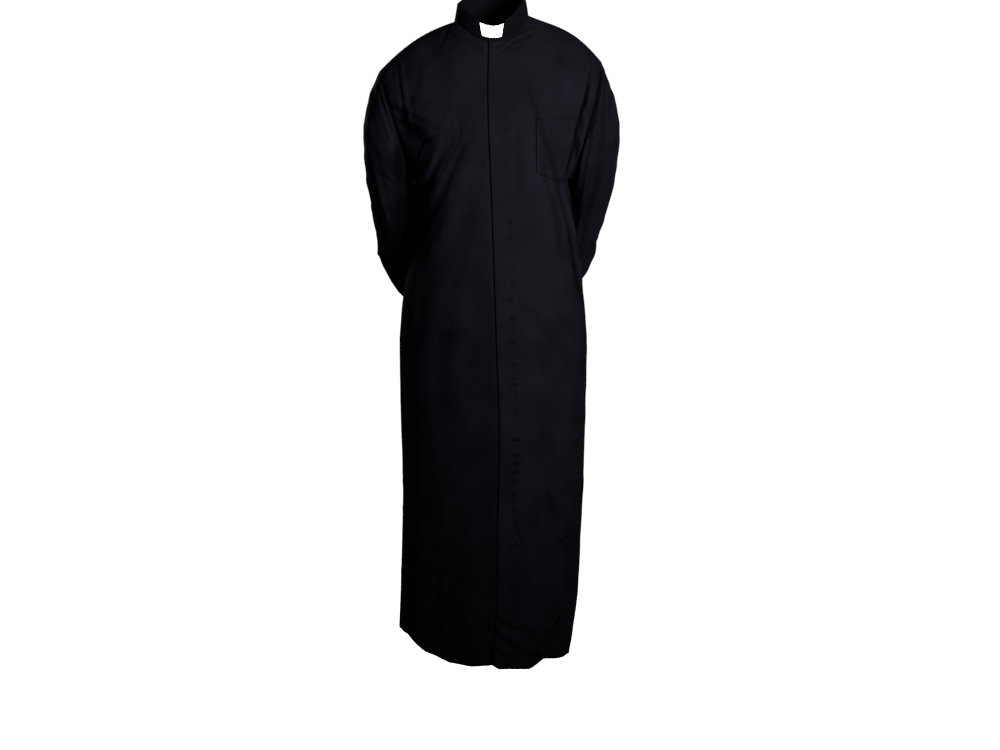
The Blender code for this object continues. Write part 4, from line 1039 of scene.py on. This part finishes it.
# Painted shade: a dark line along the pocket's top and a fainter one round its sewn edges, added to the
# painted shade of the chest's creases under it.
pocket_edge_shade = 0.8 * np.exp(-(from_top / 0.0014) ** 2) + 0.5 * np.exp(-(from_edge / 0.0012) ** 2)
pocket_shade = np.clip(body_shade(pocket_u, pocket_v, -1) + pocket_edge_shade, 0, 1)
pocket_patch = sheet_of_cloth("pocket_patch", pocket_points, pocket_normal, STRIP_CLOTH,
                              stitches=(pocket_off, pocket_run), shade=pocket_shade)
stands_for(pocket_patch, "chest_pocket", (0.095, 0.132), 0.0118)

# %% [markdown]
# ## The collar and its insert
# The collar is a stiffened band that stands 37 mm high and leans in toward the neck. At the
# front it is cut away in a notch, down to a narrow strip, and a white insert slipped
# inside the band shows in the notch. The band is a ring: a turn round the neck and a height.

# %% The collar's curve
COLLAR_HEIGHT = 0.037
COLLAR_LEAN = 0.17
BAND = 0.0024                # the solid band's thickness
BAND_CLOTH = 0.0022          # the shells' own
INSERT_CLOTH = 0.0010
SPLIT_X = -0.006
NOTCH_STRIP = 0.006
NOTCH_CENTRE = -0.003
NOTCH_HALF_BOTTOM = 0.0205
NOTCH_HALF_TOP = 0.0285
FULL_TURN = 2 * np.pi
FLAT = np.array([1, 1, 0])
NECK_MIDDLE = np.array([0.0, (NECK_FRONT_Y + NECK_BACK_Y) / 2, 0.0])


def band_point(turn, height, inset):
    """The neckline, moved up by the height and inward by lean x height + inset."""
    base = neck_edge(turn)
    inward = -unit((base - NECK_MIDDLE) * FLAT)
    return base + inward * (COLLAR_LEAN * height + inset)[..., None] + stack(0, 0, GAP + height)


def soften(piece, width):
    """A Bevel of two segments on the shell's sharp edges."""
    rounding = piece.modifiers.new("soft edge", "BEVEL")
    rounding.width = width
    rounding.segments = 2
    rounding.limit_method = "ANGLE"
    rounding.angle_limit = np.radians(50)


def turn_at(x):
    """The turn whose neckline point has this x: arcsin(x / half width)."""
    return np.arcsin(x / NECK_HALF_WIDTH)


split = turn_at(SPLIT_X)
print("the band's ends meet %.1f degrees from the middle" % np.degrees(split))

# %% Making the collar band
low_left, low_right = turn_at(NOTCH_CENTRE + np.array([1, -1]) * NOTCH_HALF_BOTTOM)
high_left, high_right = turn_at(NOTCH_CENTRE + np.array([1, -1]) * NOTCH_HALF_TOP)
band_corners = [split + 0.001, low_left, high_left,
                FULL_TURN + high_right, FULL_TURN + low_right, FULL_TURN + split - 0.001]
band_counts = (10, 9, 150, 9, 10)
band_turns = np.concatenate([np.linspace(first, last, count)[:-1] for first, last, count
                             in zip(band_corners, band_corners[1:], band_counts)] + [band_corners[-1:]])
band_tall = np.interp(band_turns, band_corners[1:-1],
                      [NOTCH_STRIP, COLLAR_HEIGHT, COLLAR_HEIGHT, NOTCH_STRIP])
band_share, band_turn = np.meshgrid(np.linspace(0, 1, 16), band_turns, indexing="ij")
tucked = 0.0030 * np.clip(-np.cos(band_turn), 0, 1)
band_height = mix(-tucked, band_tall, band_share)
waver = 0.0007 * wander(band_turn * 1.3, 41) * np.sin(np.pi * band_share)
band_points = band_point(band_turn, band_height, -waver)
band_outward = unit((band_points - NECK_MIDDLE) * FLAT)
band_off = np.minimum(band_tall - band_height, np.where(band_tall > 0.03, 1.0, 0.004))
collar_band = sheet_of_cloth("collar_band", band_points, band_outward, BAND_CLOTH,
                             stitches=(band_off, lengths_along(band_points, 1)))
stands_for(collar_band, "collar", (0.470, 0.037), 0.0155)
soften(collar_band, 0.0007)

# %% Making the insert
insert_turns = turn_at(np.linspace(-1, 1, 41) * 0.034) + NOTCH_CENTRE / NECK_HALF_WIDTH
insert_height, insert_turn = np.meshgrid(np.linspace(0.0075, 0.0315, 13), insert_turns, indexing="ij")
insert_points = band_point(insert_turn, insert_height, np.full_like(insert_height, BAND + GAP))
insert_outward = unit((insert_points - NECK_MIDDLE) * FLAT)
neck_insert = sheet_of_cloth("neck_insert", insert_points, insert_outward, INSERT_CLOTH)
stands_for(neck_insert, "collar_tab", (0.068, 0.024), 0.0016)
soften(neck_insert, 0.0003)

# %% [markdown]
# ## The sleeves
# Each sleeve hangs from the armhole, bends at the elbow and ends open behind the waist. The
# folds start at the armpit and the shoulder, run down the arm, and bunch where the elbow
# bends. Those down the front are given by place, like the body's. Those at the elbow turn round
# the arm, so they are given by their share along the sleeve and their angle round it.

# %% Folds on the sleeves
# Share and angle at each end, width and height.
LARGE_SLEEVE = [
    (0.10, 62.0, 0.48, 96.0, 0.019, 0.005),
    (0.16, 20.0, 0.55, 40.0, 0.020, 0.005),
    (0.12, -50.0, 0.50, -84.0, 0.020, 0.005),
    (0.52, -150.0, 0.66, 20.0, 0.016, 0.004),
    (0.62, 190.0, 0.76, 60.0, 0.016, -0.004),
    (0.72, -120.0, 0.90, 30.0, 0.017, 0.004),
]
# The columns of the body's folds.
LEFT_SLEEVE_FOLDS = [
    (237, -108, 187, -463, 10, 4.2, 2.6, 2.6, 0.3),
    (226, -198, 202, -425, -4, 8, -3.4, -2.6, 0),
    (245, -195, 208, -522, -7, 3, -2.2, -1.6, 0.3),
    (252, -190, 215, -520, -7, 4.6, 1.8, 1.6, 0),
    (184, -270, 170, -349, 0, 4.6, -7, -5, 0.2),
    (192, -262, 180, -340, 0, 4.6, 2.2, 2.2, 0.2),
    (246, -120, 252, -210, 2, 7, -1.2, -1.6, 0),
]
RIGHT_SLEEVE_FOLDS = [
    (-234, -138, -193, -261, 6, 4.2, -3.8, -4.4, 0.2),
    (-224, -145, -191, -257, 6, 3.8, 2.6, 3, 0.2),
    (-250, -281, -219, -408, 0, 3.4, 2.8, 2, 0.3),
    (-217, -231, -201, -373, -5, 8.5, 2.4, 2, 0),
    (-244, -158, -238, -271, 2, 8, -2.8, -2.4, 0),
    (-236, -300, -212, -400, 0, 5, -2.2, -1.6, 0),
    (-205, -400, -196, -480, 2, 6, 1.8, 1.2, 0),
]
# Share and angle at each end, width, and heights at both ends.
ELBOW_FOLDS = [
    (0.50, 150, 0.58, 60, 0.0060, 0.0034, 0.0010),
    (0.54, 170, 0.62, 70, 0.0050, -0.0034, -0.0010),
    (0.58, 185, 0.66, 80, 0.0060, 0.0036, 0.0012),
    (0.56, 190, 0.52, 280, 0.0060, 0.0030, 0.0010),
    (0.62, 200, 0.64, 290, 0.0055, -0.0030, -0.0010),
    (0.66, 170, 0.74, 60, 0.0055, -0.0028, -0.0010),
    (0.68, 196, 0.72, 290, 0.0060, 0.0028, 0.0010),
    (0.76, 150, 0.84, 40, 0.0060, 0.0024, 0.0012),
    (0.80, 180, 0.88, 80, 0.0055, -0.0022, -0.0012),
    (0.84, 210, 0.92, 300, 0.0060, 0.0022, 0.0014),
    (0.90, 120, 0.96, 20, 0.0050, 0.0018, 0.0012),
    (0.10, 300, 0.40, 270, 0.0070, 0.0026, 0.0020),
    (0.08, 280, 0.36, 246, 0.0065, -0.0024, -0.0020),
    (0.14, 328, 0.46, 318, 0.0070, 0.0018, 0.0020),
    (0.40, 300, 0.56, 330, 0.0070, -0.0018, -0.0016),
    (0.48, 350, 0.66, 20, 0.0080, 0.0016, 0.0018),
    (0.70, 330, 0.90, 350, 0.0070, -0.0016, -0.0018),
]
SLEEVE_LENGTH = 0.62         # between the centre line's length and the outer side's, for distances
FADE_PAST_END = 0.022        # how far round the arm a fold fades past its ends
print("sleeves:", len(LEFT_SLEEVE_FOLDS + RIGHT_SLEEVE_FOLDS), "folds down the front,",
      len(ELBOW_FOLDS), "at each elbow")


# %% Folds that turn round the arm
def half_turn(degrees):
    """The same angle between -180 and 180 degrees."""
    return (degrees + 180) % 360 - 180


def elbow_relief(along, degrees, radius, seed):
    """The fold profile on a line that turns round the tube, its distance measured along the arm."""
    relief = np.zeros(along.shape)
    for number, (a0, g0, a1, g1, width, start, end) in enumerate(ELBOW_FOLDS):
        sweep = (degrees - g0) / (g1 - g0)
        turned = half_turn(degrees - g0) / (g1 - g0)
        sweep = np.where(np.abs(turned) < np.abs(sweep), turned, sweep)
        t = np.clip(sweep, 0, 1)
        off = (along - mix(a0, a1, t)) * SLEEVE_LENGTH - 0.25 * width * wander(t * 4, seed + number)
        beyond = (sweep - t) * np.radians(abs(g1 - g0)) * radius / FADE_PAST_END
        height = mix(start, end, t) * (1 + 0.2 * wander(t * 6, seed + 30 + number))
        relief += height * fold_profile(off / width, 0.25) * np.exp(-beyond ** 2)
    return relief


def large_ring(along, degrees, radius):
    """The solids' ridges on the sleeve: a bell across each line, faded at both ends."""
    relief = np.zeros(along.shape)
    for a0, g0, a1, g1, width, height in LARGE_SLEEVE:
        t = np.clip((along - a0) / (a1 - a0), 0, 1)
        off = np.radians(half_turn(degrees - mix(g0, g1, t))) * radius
        relief += height * np.exp(-(off / width) ** 2 - ((along - mix(a0, a1, t)) / 0.05) ** 2)
    return relief * np.clip(along / 0.10, 0, 1) * np.clip((1 - along) / 0.06, 0, 1)


print("340 degrees is the same as", half_turn(340))

# %% Making the sleeves
CUFF_HEM = 0.022             # the cuff's stitches lie this far above its edge
SLEEVE_ROWS = 220 // FINE
SLEEVE_COLUMNS = 116 // FINE


def make_sleeve(name, node, side, front_folds):
    """A tube: plain sleeve + radial direction x (large + fine folds + unevenness)."""
    round_arm = np.linspace(0, FULL_TURN, SLEEVE_COLUMNS + 1)[:-1]
    along, angle = np.meshgrid(np.linspace(0, 1, SLEEVE_ROWS), round_arm, indexing="ij")
    plain = plain_sleeve(along, angle, side)
    x, z = plain[..., 0], plain[..., 2]
    centre, outward, forward = sleeve_station(along)
    radius = 0.5 * (np.linalg.norm(outward, axis=-1) + np.linalg.norm(forward, axis=-1))
    centre[..., 0] *= side
    radial = unit(plain - centre)
    degrees = np.degrees(angle)
    seed = 60 + side
    facing = ease((0.10 - radial[..., 1]) / 0.40)          # 1 on the sleeve's front, 0 behind
    fine = fold_relief(x, z, front_folds, seed) * facing + elbow_relief(along, degrees, radius, seed + 9)
    soft = (rumple(along * 0.6, np.sin(angle) * 0.06, 0.05, 0.0005, seed)
            + rumple(along * 0.6, np.cos(angle) * 0.06, 0.04, 0.0004, seed + 2))
    calm = ease(along / 0.03) * (0.25 + 0.75 * ease((1 - along) / 0.05))    # less near both edges
    relief = large_ring(along, degrees * side, radius) + (fine + soft) * calm
    points = armhole_sink(plain + radial * relief[..., None])
    points[0] += np.array([side, 0, 1]) * ARM_DIRECTION * SEAM_GAP / 2
    length = lengths_along(points, 0)
    cuff_off = np.abs(length[-1:] - length - CUFF_HEM) + STITCH_LINE
    # Painted shade on the sleeve: its creases, beside the armhole seam, and the dim places on its front.
    shade = deepest(crease_shade(fine * calm), seam_shade(plain), dim_places(x, z) * facing)
    sleeve = sheet_of_cloth(name, points, radial, CLOTH, closed=True,
                            stitches=(cuff_off, lengths_along(points, 1)), shade=shade)
    stands_for(sleeve, node, (0.46, 0.68), 0.18)
    return sleeve


left_sleeve_cloth = make_sleeve("left_sleeve_cloth", "sleeve_left", +1, LEFT_SLEEVE_FOLDS)
right_sleeve_cloth = make_sleeve("right_sleeve_cloth", "sleeve_right", -1, RIGHT_SLEEVE_FOLDS)

# %% [markdown]
# ## The cloth's finish
# The robe is a plain-woven blend of cotton and polyester, dyed black. Black cloth is not a
# black colour alone: it has a very dark, slightly blue base, a soft sheen where light grazes
# the fibres, and a surface that is never quite smooth. From large to small, the finish has
# cloudy changes in tone, a fine crumple, the weave of warp and weft, and rows of stitches.

# %% Small helpers for shader graphs
def new_finish(name):
    """A material, its graph, and the graph's Principled BSDF."""
    material = bpy.data.materials.new(name)
    material.use_nodes = True
    return material, material.node_tree, material.node_tree.nodes["Principled BSDF"]


def add(graph, kind, inputs=None, **settings):
    """A new node with its properties set, and its inputs set to numbers or fed by sockets."""
    node = graph.nodes.new(kind)
    for key, value in settings.items():
        setattr(node, key, value)
    for socket, value in (inputs or {}).items():
        if isinstance(value, bpy.types.NodeSocket):
            graph.links.new(value, node.inputs[socket])
        else:
            node.inputs[socket].default_value = value
    return node


def reckon(graph, operation, *values):
    """A Math node's result."""
    return add(graph, "ShaderNodeMath", dict(enumerate(values)), operation=operation).outputs[0]


def mixed(graph, blend, share, first, second):
    """Two colours blended by a share, from a Mix node's colour sockets, which are numbers 6 and 7."""
    inputs = {0: share, 6: first, 7: second}
    return add(graph, "ShaderNodeMix", inputs, data_type="RGBA", blend_type=blend).outputs[2]


def noise(graph, scale, detail, roughness=0.5):
    """Noise in object coordinates, in waves per metre."""
    place = add(graph, "ShaderNodeTexCoord").outputs["Object"]
    return add(graph, "ShaderNodeTexNoise", {"Vector": place, "Scale": scale, "Detail": detail,
                                             "Roughness": roughness}).outputs[0]


def raised(graph, height, strength, distance, under=None):
    """A Bump from a height, over the bump under it."""
    inputs = {"Height": height, "Strength": strength, "Distance": distance}
    if under:
        inputs["Normal"] = under
    return add(graph, "ShaderNodeBump", inputs).outputs[0]


def attribute(graph, name):
    """A number that the mesh carries on each point."""
    return add(graph, "ShaderNodeAttribute", attribute_name=name).outputs["Fac"]


def set_surface(shader, **numbers):
    """The shader's own sockets, named with _ for a space."""
    for name, value in numbers.items():
        shader.inputs[name.replace("_", " ")].default_value = value


# %% Black cloth
YARN = 0.00055              # spacing of the yarns, in metres
STITCH = 0.0026             # length of a stitch and the gap after it
STITCHED_SHARE = 0.62       # share of that length that is thread
STITCH_HALF_WIDTH = 0.00035
STITCH_FROM_EDGE = 0.0013
DARK = np.array([0.0022, 0.0022, 0.0034])
LIGHT = np.array([0.0037, 0.0037, 0.0056])
THREAD = (0.0036, 0.0036, 0.0052, 1)
# Painted shade: where the shade attribute is 1, the colour loses this share.
PAINTED_SHADE_LOSS = 0.88          # share of the colour that the deepest crease loses


def make_black_cloth(name, depth=1.0, stiff=1.0):
    """(Dark base + clouds) x depth x (1 - 0.88 shade) + sheen; the shade attribute is painted shade, and a
    depth below 1 darkens a whole piece as painted shade; bump = crumple, then weave, then stitches.
    """
    material, graph, shader = new_finish(name)
    tone = add(graph, "ShaderNodeValToRGB", {0: noise(graph, 14.0, 4.0, 0.55)})
    for stop, position, colour in zip(tone.color_ramp.elements, (0.28, 0.72), (DARK, LIGHT)):
        stop.position = position
        stop.color = (*(colour * depth), 1)
    cloth_place = add(graph, "ShaderNodeUVMap", uv_map="cloth").outputs[0]
    threads = add(graph, "ShaderNodeSeparateXYZ", {0: cloth_place})
    warp, weft = [reckon(graph, "SINE", reckon(graph, "MULTIPLY", threads.outputs[axis], 2 * np.pi / YARN))
                  for axis in (0, 1)]
    woven = reckon(graph, "MULTIPLY_ADD", reckon(graph, "MULTIPLY", warp, weft), 0.5, 0.5)
    beside = reckon(graph, "ABSOLUTE", reckon(
        graph, "SUBTRACT", attribute(graph, "stitch_off"), STITCH_FROM_EDGE))
    beat = reckon(graph, "FRACT", reckon(graph, "DIVIDE", attribute(graph, "stitch_run"), STITCH))
    stitched = reckon(graph, "MULTIPLY", reckon(graph, "LESS_THAN", beside, STITCH_HALF_WIDTH),
                      reckon(graph, "LESS_THAN", beat, STITCHED_SHARE))
    thread = mixed(graph, "MIX", stitched, tone.outputs[0], THREAD)
    # Painted shade: the colour times 1 - 0.88 x the shade attribute.
    light_left = reckon(graph, "MULTIPLY_ADD", attribute(graph, "shade"), -PAINTED_SHADE_LOSS, 1.0)
    graph.links.new(mixed(graph, "MULTIPLY", 1.0, thread, light_left), shader.inputs["Base Color"])
    crumple = raised(graph, noise(graph, 75.0, 4.0, 0.6), 0.50 * stiff, 0.0012)
    weave = raised(graph, woven, 0.35, 0.00008, crumple)
    graph.links.new(raised(graph, stitched, 0.6, 0.0003, weave), shader.inputs["Normal"])
    set_surface(shader, Roughness=0.72, Metallic=0.0, Specular_IOR_Level=0.004, Sheen_Weight=0.0015,
                Sheen_Roughness=0.45, Sheen_Tint=(0.80, 0.80, 1.0, 1.0))
    return material


black_cloth = make_black_cloth("black plain-woven cloth")
# The collar's copy: its colours halved as painted shade, and half the crumple bump.
shaded_collar_cloth = make_black_cloth("black cloth over stiffening, with painted shade", 0.5, 0.5)
for piece in (back_cloth, left_front_cloth, right_front_cloth, placket_strip, pocket_patch,
              left_sleeve_cloth, right_sleeve_cloth):
    piece.data.materials.append(black_cloth)
collar_band.data.materials.append(shaded_collar_cloth)

# %% White insert
white_insert, graph, shader = new_finish("white satin insert")
graph.links.new(raised(graph, noise(graph, 240.0, 2.0), 0.12, 0.0004), shader.inputs["Normal"])
set_surface(shader, Base_Color=(0.80, 0.815, 0.84, 1), Roughness=0.42)
neck_insert.data.materials.append(white_insert)
print("finishes:", black_cloth.name, "|", shaded_collar_cloth.name, "|", white_insert.name)

# %% [markdown]
# ## Studio
# The main light stands a third of the way round to the wearer's left, level with the neck, and is
# aimed at the chest, so its beam falls off toward the hem. A weak light behind the other shoulder
# picks out that edge, and one almost straight behind shows the back without touching the front.
# The floor sweeps up into a pale backdrop, so there is no horizon. It is seen, but casts no light
# on the black cloth.

# %% Floor and backdrop in one sweep
FLOOR_Z = -1.50
sweep_turn = np.linspace(0, np.pi / 2, 20)
profile_r = np.concatenate([[0.02, 2.0], 4.6 + 2.0 * np.sin(sweep_turn), [6.6]])
profile_z = np.concatenate([[0.0, 0.0], 2.0 - 2.0 * np.cos(sweep_turn), [7.0]]) + FLOOR_Z
sweep_angle = np.linspace(0, 2 * np.pi, 97)[:-1]
sweep_points = stack(profile_r[:, None] * np.cos(sweep_angle), profile_r[:, None] * np.sin(sweep_angle),
                     profile_z[:, None])
sweep_faces = grid_faces(len(profile_r), len(sweep_angle), True).tolist()
sweep_mesh = bpy.data.meshes.new("pale_sweep")
sweep_mesh.from_pydata(sweep_points.reshape(-1, 3).tolist(), [], sweep_faces + [list(range(96))[::-1]])
sweep_mesh.shade_smooth()
pale_sweep = bpy.data.objects.new("pale_sweep", sweep_mesh)
bpy.context.scene.collection.objects.link(pale_sweep)
pale_sweep.visible_diffuse = False
pale_sweep.visible_glossy = False
pale_sweep.visible_shadow = False
paper, graph, shader = new_finish("pale paper")
set_surface(shader, Base_Color=(0.90, 0.90, 0.90, 1), Roughness=0.9, Specular_IOR_Level=0.1,
            Emission_Color=(1, 1, 1, 1), Emission_Strength=0.95)
sweep_mesh.materials.append(paper)
print("sweep:", len(sweep_mesh.vertices), "points, floor at", FLOOR_Z)


# %% Lights
def softbox(name, place, target, size, power, spread):
    """A square area light at a place, aimed at a target, its beam `spread` degrees wide."""
    data = bpy.data.lights.new(name, "AREA")
    data.shape = "SQUARE"
    data.size = size
    data.energy = power
    data.spread = np.radians(spread)
    lamp = bpy.data.objects.new(name, data)
    aim = np.array(target) - np.array(place)
    lamp.location = place
    lamp.rotation_euler = (np.arctan2(np.hypot(aim[0], aim[1]), -aim[2]), 0, np.arctan2(-aim[0], aim[1]))
    lamp.visible_camera = False
    bpy.context.scene.collection.objects.link(lamp)
    return lamp


softbox("key", (1.08, -1.90, -0.02), (0.0, -0.1, -0.20), 0.7, 22, 66)
softbox("edge", (-1.2, 1.8, 0.2), (0.0, 0.1, -0.50), 0.8, 5, 110)
softbox("behind", (0.25, 2.5, 0.05), (0.0, 0.1, -0.35), 0.7, 24, 80)
world = bpy.data.worlds.new("pale room")
bpy.context.scene.world = world
world.use_nodes = True
world.node_tree.nodes["Background"].inputs[0].default_value = (1, 1, 1, 1)
world.node_tree.nodes["Background"].inputs[1].default_value = 0.08

# %% Camera
DISTANCE = 3.8               # along the ground from the middle of the neck
HEIGHT = -0.28
PITCH = np.radians(7.0)      # down from level
SWING = np.radians(4.0)      # round to the wearer's right
FOCAL_LENGTH = 1809.0        # in pixels of a picture 1000 wide
MIDDLE_SHIFT = 9.0           # how far the neck stands from that picture's middle, in pixels
camera_data = bpy.data.cameras.new("camera")
camera_data.sensor_width = 36.0
camera_data.lens = 65.1
camera_data.clip_end = 60.0
camera = bpy.data.objects.new("camera", camera_data)
turned_aside = np.arctan2(MIDDLE_SHIFT, FOCAL_LENGTH) * np.cos(PITCH)
camera.location = (-DISTANCE * np.sin(SWING), -DISTANCE * np.cos(SWING), HEIGHT)
camera.rotation_euler = (np.pi / 2 - PITCH, 0.0, -SWING - turned_aside)
bpy.context.scene.collection.objects.link(camera)
bpy.context.scene.camera = camera
bpy.context.scene.view_settings.view_transform = "Standard"
print("camera at", np.round(camera.location, 3).tolist(), "lens", camera_data.lens)
